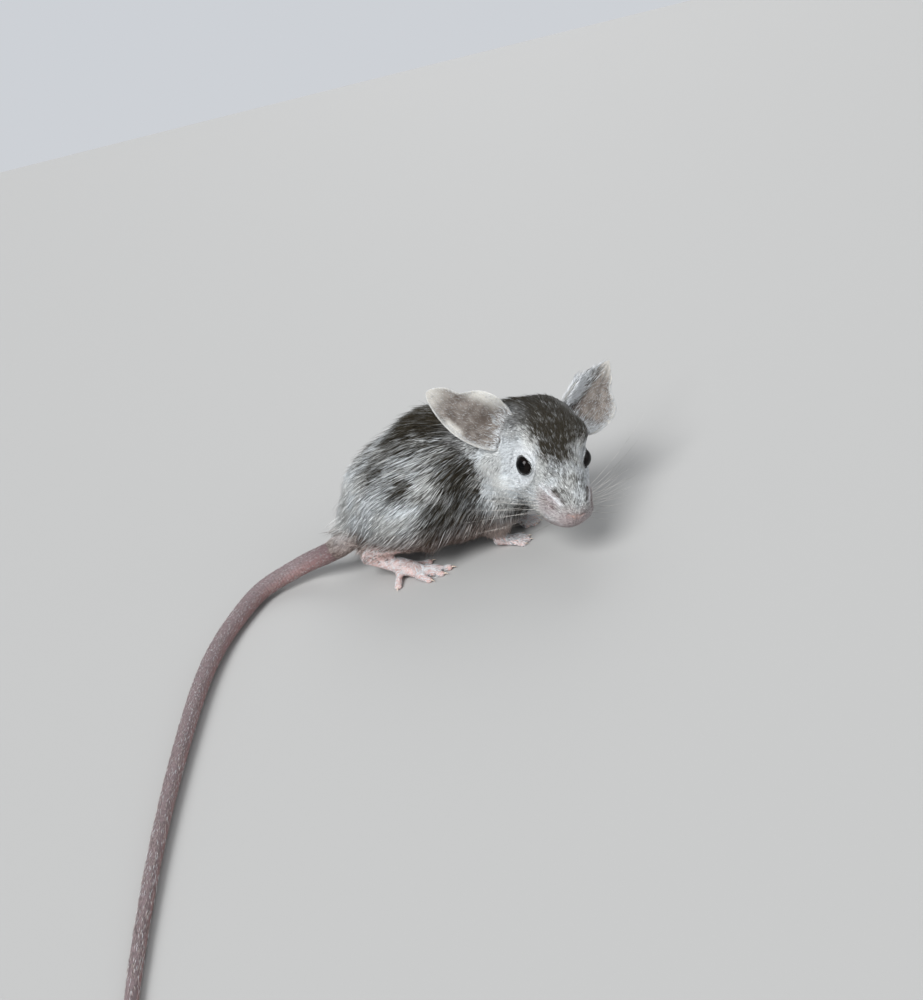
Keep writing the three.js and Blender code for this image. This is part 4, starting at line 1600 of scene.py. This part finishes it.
def build_claws(claws, material):
    """One small hooked claw, put on every toe by Geometry Nodes."""
    seats = claw_seats()
    points = bpy.data.meshes.new("claw_seats")
    points.from_pydata(to_row([s[0] for s in seats]).tolist(), [], [])
    obj = linked("claws", points)
    set_attribute(points, "way", np.array([s[1] for s in seats]))
    set_attribute(points, "share", np.array([1.0 if s[2] == "hind" else 0.7 for s in seats]))
    sizes = {"Length": claws.length, "Thickness": claws.thickness}
    graph, given = geometry_tree("Claws", sizes)
    arc = {"Start": (0, 0, 0), "Middle": (0.6, 0, 0.16), "End": (1, 0, -0.28), "Resolution": 8}
    curve = graph.add("GeometryNodeCurveQuadraticBezier", None, arc)
    size = graph.add("ShaderNodeCombineXYZ", None, [given.output("Length")] * 3)
    curve = graph.add("GeometryNodeTransform", None, {"Geometry": curve, "Scale": size})
    taper = 1.02 - graph.add("GeometryNodeSplineParameter").output("Factor")
    claw = swept(graph, curve, taper**0.7 * given.output("Thickness"), 8)
    way = graph.add("GeometryNodeInputNamedAttribute", {"data_type": "FLOAT_VECTOR"}, {"Name": "way"})
    axes = {"axis": "X", "pivot_axis": "Z"}
    turned = graph.add("FunctionNodeAlignRotationToVector", axes, {"Vector": way})
    share = graph.add("GeometryNodeInputNamedAttribute", {"data_type": "FLOAT"}, {"Name": "share"})
    inputs = {"Points": given.output("Geometry"), "Instance": claw, "Rotation": turned, "Scale": share}
    spread = graph.add("GeometryNodeInstanceOnPoints", None, inputs)
    return grown(obj, graph, spread, sizes, material)


def claw_finish(claws):
    """Pale horn, whiter towards its point and dusky at its root."""
    material, graph = material_graph("claw")
    place = graph.add("ShaderNodeTexCoord").output("Object")
    streak = graph.noise(place, 2500.0, 3.0)
    colour = graph.mix(graph.ramp(streak, 0.35, 0.65), claws.horn, claws.horn_dark)
    normal = graph.add("ShaderNodeBump", None, {"Strength": 0.2, "Distance": 0.00002, "Height": streak})
    shader(graph, colour, graph.ramp(streak, 0.2, 0.8, 0.3, 0.45), normal)
    return material


WHISKER_ROWS = 4
WHISKER_STEPS = 14


def whisker_path(start, reach, droop):
    """A curved path from a place in the head's frame."""
    t = np.linspace(0, 1, WHISKER_STEPS)[:, None]
    return from_head(start + reach * t + droop * t**2)


def whisker_paths(count):
    """Rows of whiskers swept back from the pads, with a few over the eyes and on the chin."""
    rng = np.random.default_rng(WHISKER_SEED)
    paths = []
    for sign in SIDES.values():
        for i in range(count):
            column, row = divmod(i, WHISKER_ROWS)
            share = column / max(count // WHISKER_ROWS - 1, 1)
            aside = 2.5 + 1.3 * share
            start = np.array([9.3 - 4.0 * share, sign * aside, -3.5 + 0.6 * share - 0.72 * row])
            way = unit([-0.15 - 0.45 * share, sign, 0.38 - 0.25 * row])
            length = 7 + 12 * share + rng.uniform(-1.5, 1.5)
            droop = np.array([-0.30, 0, -0.1]) * length
            way = way + rng.normal(0, 0.07, 3)
            paths.append(whisker_path(start, way * length, droop))
        for forward, height, length in ((3.2, 3.9, 7), (4.0, 3.2, 5)):
            start = np.array([forward, sign * 3.6, height])
            way = unit([-0.5, sign * 0.75, 0.75])
            paths.append(whisker_path(start, way * length, np.array([-1.6, 0, -0.4])))
    return paths


def build_whiskers(skin, whiskers, material):
    """Whiskers by Geometry Nodes, each a thin taper along its path."""
    surface = surface_of(skin)
    paths = []
    for path in whisker_paths(whiskers.count):
        start = nearest(surface, path[:1])[0]
        paths.append(lifted(path + (start - path[0]), 0.1))
    obj = path_object("whiskers", paths)
    sizes = {"Radius": whiskers.thickness / 2}
    graph, given = geometry_tree("Whiskers", sizes)
    curve = graph.add("GeometryNodeMeshToCurve", None, {0: given.output("Geometry")})
    along = graph.add("GeometryNodeSplineParameter").output("Factor")
    whisker = swept(graph, curve, (1.04 - along) * given.output("Radius"), 5)
    return grown(obj, graph, whisker, sizes, material)


def whisker_finish(whiskers):
    """Pale hair, with a darker stretch here and there."""
    material, graph = material_graph("whisker")
    place = graph.add("ShaderNodeTexCoord").output("Object")
    streak = graph.noise(place, 180.0, 2.0)
    colour = graph.mix(graph.ramp(streak, 0.45, 0.65), whiskers.pale, whiskers.dark)
    shader(graph, colour, graph.ramp(streak, 0.2, 0.8, 0.35, 0.5))
    return material


# ---- The floor, the lights and the camera

CAMERA_AT = (1.1, -137.9, 77.5)  # in the body's frame
CAMERA_DOWN, CAMERA_ROLL = 27, 14  # degrees
CAMERA_LENS = 30.857  # mm, on a sensor 36 mm wide
LAMPS = [
    # where it shines from, how wide it is (degrees) and its strength
    ("key", (-0.5, -0.64, 0.88), 30, 3.4),
    ("fill", (0.85, -0.45, 0.5), 50, 0.6),
    ("back", (0.15, 0.8, 0.7), 40, 0.8),
    ("catch", (-0.549, -0.8, 0.454), 8, 0.35),
]


def build_stage(stage):
    """A wide pale floor, soft lights and the camera."""
    mesh = bpy.data.meshes.new("floor")
    turn = np.linspace(0, 2 * np.pi, 96, endpoint=False)
    rim = stage.floor_reach * np.stack([np.cos(turn), np.sin(turn), 0 * turn], axis=1)
    mesh.from_pydata(rim.tolist(), [], [tuple(range(len(rim)))])
    floor = linked("floor", mesh)
    material, graph = material_graph("floor")
    shader(graph, stage.floor, 0.75)
    mesh.materials.append(material)
    for name, spot, width, strength in LAMPS:
        light = bpy.data.lights.new(name, "SUN")
        light.angle, light.energy = math.radians(width), strength * stage.light
        lamp = linked(name, light)
        lamp.location = spot
        lamp.rotation_mode = "QUATERNION"
        lamp.rotation_quaternion = (-Vector(spot)).to_track_quat("-Z", "Y")
    scene = bpy.context.scene
    scene.world = bpy.data.worlds.new("studio")
    scene.world.use_nodes = True
    graph = Graph(scene.world.node_tree)
    seen = graph.add("ShaderNodeLightPath").output("Is Camera Ray")
    strength = seen * (stage.backdrop - stage.sky_strength) + stage.sky_strength
    sky = graph.add("ShaderNodeBackground", None, {"Color": stage.sky, "Strength": strength})
    graph.add("ShaderNodeOutputWorld", None, {"Surface": sky})
    scene.view_settings.view_transform = "Standard"
    camera = linked("camera", bpy.data.cameras.new("camera"))
    camera.data.lens, camera.data.sensor_width = CAMERA_LENS, 36
    camera.data.clip_start, camera.data.clip_end = 0.005, 20
    lean = Matrix.Rotation(math.radians(90 - CAMERA_DOWN), 4, "X")
    roll = Matrix.Rotation(math.radians(-CAMERA_ROLL), 4, "Z")
    camera.matrix_world = Matrix.Translation(to_row(CAMERA_AT)) @ lean @ roll
    scene.camera = camera


# ---- Settings


def length_of(name, default, description):
    """A size in metres that a user may change."""
    return FloatProperty(
        name=name, default=default, description=description, unit="LENGTH", precision=5, min=0
    )


def share_of(name, default, description, low=0.0, high=1.0):
    """A number that a user may change."""
    return FloatProperty(name=name, default=default, description=description, min=low, max=high)


def count_of(name, default, description):
    """A whole number that a user may change."""
    return IntProperty(name=name, default=default, description=description, min=1)


def colour_of(name, seen, description):
    """A colour that a user may change."""
    return FloatVectorProperty(
        name=name, default=tint(*seen), description=description, subtype="COLOR", size=4, min=0, max=1
    )


class MouseSkinSettings(PropertyGroup):
    rough_face: length_of("Rough face", 0.3 * MM, "Face size while the body's parts are joined")
    fine_face: length_of("Fine face", 0.2 * MM, "Face size of the finished skin")
    face_share: share_of("Faces kept", 0.5, "How many of the fine faces are kept")
    lid_thickness: length_of("Lid thickness", 0.18 * MM, "Thickness of the eyelids' edge")
    lid_opening: share_of("Lid opening", 68, "Half the angle that the lids leave open, in degrees", 20, 85)
    lid_corner: share_of("Lid corner", 13, "How much less the lids open above and below, in degrees", 0, 30)
    ear_thickness: length_of("Ear thickness", 0.5 * MM, "Thickness of the ear's shell")
    ring_spacing: length_of("Ring spacing", 0.62 * MM, "Distance between the tail's rings of scales")
    ring_relief: share_of("Ring relief", 0.055, "Depth of the tail's rings, as a share of its radius")
    pink: colour_of("Pink", (192, 158, 152), "Bare skin of the feet")
    pale: colour_of("Pale", (208, 184, 180), "Paler patches of the feet")
    nose: colour_of("Nose", (188, 156, 146), "Nose and the muzzle's rim")
    nostrils: colour_of("Nostrils", (158, 122, 124), "The nose beside the nostrils")
    lids: colour_of("Lids", (12, 10, 10), "Edge of the eyelids")
    ear: colour_of("Ear", (127, 120, 114), "Ears, inside and out")
    ear_dark: colour_of("Dusky ear", (96, 88, 82), "Darker mottling of the ears")
    ear_rim: colour_of("Ear rim", (222, 220, 213), "Rim of the ears")
    # Painted shade in the ears' hollows.
    ear_hollow_shade: colour_of("Ear hollow", (88, 77, 70), "Depth of the ears")
    tail_top: colour_of("Tail above", (122, 108, 110), "Upper side of the tail")
    tail_side: colour_of("Tail beside", (150, 118, 117), "Sides of the tail")
    tail_base: colour_of("Tail root", (88, 66, 68), "The tail near the rump, and between its scales")


class MouseCoatSettings(PropertyGroup):
    tufts: count_of("Tufts", 196000, "Tufts of fur on the head, trunk and legs")
    sparse: count_of("Sparse hairs", 3600, "What the hairs on each nearly bare part are counted by")
    shortest: length_of("Shortest", 0.95 * MM, "Length of a tuft where the coat has no depth")
    per_depth: share_of("Length per depth", 1.4, "How much longer tufts are for each millimetre deep", 0, 6)
    thinnest: length_of("Thinnest", 0.06 * MM, "Width of the shortest tufts")
    width_share: share_of("Width share", 0.02, "How much wider a tuft is for its length")
    strays: share_of("Strays", 0.05, "How many tufts stand out over the others")
    clumping: share_of("Clumping", 0.35, "How far tips draw together into locks")
    roan: share_of("Roan", 1.0, "How far dark and silver hairs are mixed", 0, 2)
    darkness: share_of("Darkness", 0.46, "Share of dark hairs away from the markings", -1, 2)
    patchiness: share_of("Patchiness", 0.22, "How uneven the coat's grey is", 0, 2)
    silver: colour_of("Silver", (230, 235, 238), "The light hairs")
    warm_silver: colour_of("Warm silver", (204, 200, 190), "The light hairs in warmer places")
    slate: colour_of("Slate", (52, 47, 37), "The dark hairs")
    belly: colour_of("Belly", (178, 156, 146), "The light hairs low on the sides and on the belly")
    blush: colour_of("Blush", (180, 162, 163), "The hairs at the end of the muzzle, over pink skin")
    belly_dark: colour_of("Dark belly", (78, 58, 50), "The dark hairs low on the sides and on the belly")
    white: colour_of("White", (234, 237, 240), "The hairs round the eyes, on the ears and on the feet")


class MouseEyeSettings(PropertyGroup):
    cornea: length_of("Cornea", 0.03 * MM, "How far the front of the eye stands proud")
    pupil: colour_of("Pupil", (4, 4, 5), "Middle of the eye")
    iris: colour_of("Iris", (16, 12, 11), "Round the pupil")


class MouseClawSettings(PropertyGroup):
    length: length_of("Length", 0.85 * MM, "Length of a hind claw")
    thickness: length_of("Thickness", 0.14 * MM, "Half a claw's thickness at its root")
    horn: colour_of("Horn", (222, 208, 192), "The claws")
    horn_dark: colour_of("Dusky horn", (188, 166, 150), "Streaks in the claws")


class MouseWhiskerSettings(PropertyGroup):
    count: count_of("Whiskers", 20, "Whiskers on each side")
    thickness: length_of("Thickness", 0.04 * MM, "Thickness of a whisker at its root")
    pale: colour_of("Pale", (214, 210, 204), "Most of each whisker")
    dark: colour_of("Dark", (92, 84, 78), "Darker stretches")


class MouseStageSettings(PropertyGroup):
    floor_reach: length_of("Floor", 12.0, "How far the floor reaches")
    floor: colour_of("Floor colour", (170, 170, 169), "The floor")
    backdrop: share_of("Backdrop", 0.73, "How bright the surroundings look beyond the floor", 0, 5)
    sky: colour_of("Surroundings", (236, 240, 246), "Light from all round")
    sky_strength: share_of("Surroundings' light", 0.4, "Strength of the light from all round", 0, 5)
    light: share_of("Lamps", 1.0, "Strength of the lamps", 0, 5)


# ---- Operators


def finished(piece, material, slot, *nodes):
    """Puts a piece under the body's root, with its finish if it has none, and hides the solids that it stands
    for.
    """
    if material and not piece.data.materials:
        piece.data.materials.append(material)
    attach(piece, "root")
    if nodes:
        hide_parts(*nodes)


class MOUSE_OT_skin(Operator):
    """Builds the skin over the whole body, with its ears and tail"""

    bl_idname = "mouse.skin"
    bl_label = "Build skin"

    def execute(self, context):
        size = context.scene.mouse_skin
        skin, guides = build_skin(size)
        skin_masks(skin, guides, size.lid_opening, size.lid_corner)
        smooth(skin)
        flesh = [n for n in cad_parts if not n.startswith("eye")]
        skin.data.materials.clear()
        finished(skin, skin_finish(context.scene.mouse_coat, size), "coat", *flesh)
        return {"FINISHED"}


class MOUSE_OT_eyes(Operator):
    """Builds the eyes"""

    bl_idname = "mouse.eyes"
    bl_label = "Build eyes"

    def execute(self, context):
        material = eye_finish(context.scene.mouse_eyes)
        for side in SIDES:
            finished(build_eye(side, context.scene.mouse_eyes), material, "eye", f"eye_{side}")
        return {"FINISHED"}


class MOUSE_OT_claws(Operator):
    """Builds the claws"""

    bl_idname = "mouse.claws"
    bl_label = "Build claws"

    def execute(self, context):
        material = claw_finish(context.scene.mouse_claws)
        finished(build_claws(context.scene.mouse_claws, material), material, "foot")
        return {"FINISHED"}


class MOUSE_OT_coat(Operator):
    """Grows the coat on the skin"""

    bl_idname = "mouse.coat"
    bl_label = "Grow coat"

    def execute(self, context):
        coat = context.scene.mouse_coat
        skin = bpy.data.objects["skin"]
        surface = surface_of(skin)
        material = coat_finish(coat)
        share = 1.0
        pieces = body_fur(skin, surface, coat, material, int(coat.tufts * share))
        for grow in (ear_hair, limb_hair):
            pieces += grow(skin, surface, material, int(coat.sparse * share))
        for piece in pieces:
            finished(piece, material, "coat")
        return {"FINISHED"}


class MOUSE_OT_whiskers(Operator):
    """Builds the whiskers"""

    bl_idname = "mouse.whiskers"
    bl_label = "Build whiskers"

    def execute(self, context):
        whiskers = context.scene.mouse_whiskers
        material = whisker_finish(whiskers)
        finished(build_whiskers(bpy.data.objects["skin"], whiskers, material), material, "coat")
        return {"FINISHED"}


class MOUSE_OT_stage(Operator):
    """Sets the floor, the lights and the camera"""

    bl_idname = "mouse.stage"
    bl_label = "Set stage"

    def execute(self, context):
        build_stage(context.scene.mouse_stage)
        return {"FINISHED"}


OPERATORS = [
    MOUSE_OT_skin,
    MOUSE_OT_eyes,
    MOUSE_OT_claws,
    MOUSE_OT_coat,
    MOUSE_OT_whiskers,
    MOUSE_OT_stage,
]
SETTINGS = {
    "mouse_skin": MouseSkinSettings,
    "mouse_coat": MouseCoatSettings,
    "mouse_eyes": MouseEyeSettings,
    "mouse_claws": MouseClawSettings,
    "mouse_whiskers": MouseWhiskerSettings,
    "mouse_stage": MouseStageSettings,
}


class MOUSE_PT_panel(Panel):
    """The mouse's pieces and their settings"""

    bl_idname = "MOUSE_PT_panel"
    bl_label = "Mouse"
    bl_space_type = "VIEW_3D"
    bl_region_type = "UI"
    bl_category = "Mouse"

    def draw(self, context):
        for operator in OPERATORS:
            self.layout.operator(operator.bl_idname)
        for name, group in SETTINGS.items():
            box = self.layout.box()
            box.label(text=name.replace("_", " ").title())
            for key in group.__annotations__:
                box.prop(getattr(context.scene, name), key)


CLASSES = [*SETTINGS.values(), *OPERATORS, MOUSE_PT_panel]


def register():
    for each in CLASSES:
        bpy.utils.register_class(each)
    for name, group in SETTINGS.items():
        setattr(bpy.types.Scene, name, PointerProperty(type=group))


def unregister():
    for name in SETTINGS:
        delattr(bpy.types.Scene, name)
    for each in reversed(CLASSES):
        bpy.utils.unregister_class(each)


def main():
    """Builds everything."""
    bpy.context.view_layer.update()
    register()
    for operator in OPERATORS:
        getattr(bpy.ops.mouse, operator.bl_idname.split(".")[1])()


if __name__ == "__main__":
    main()
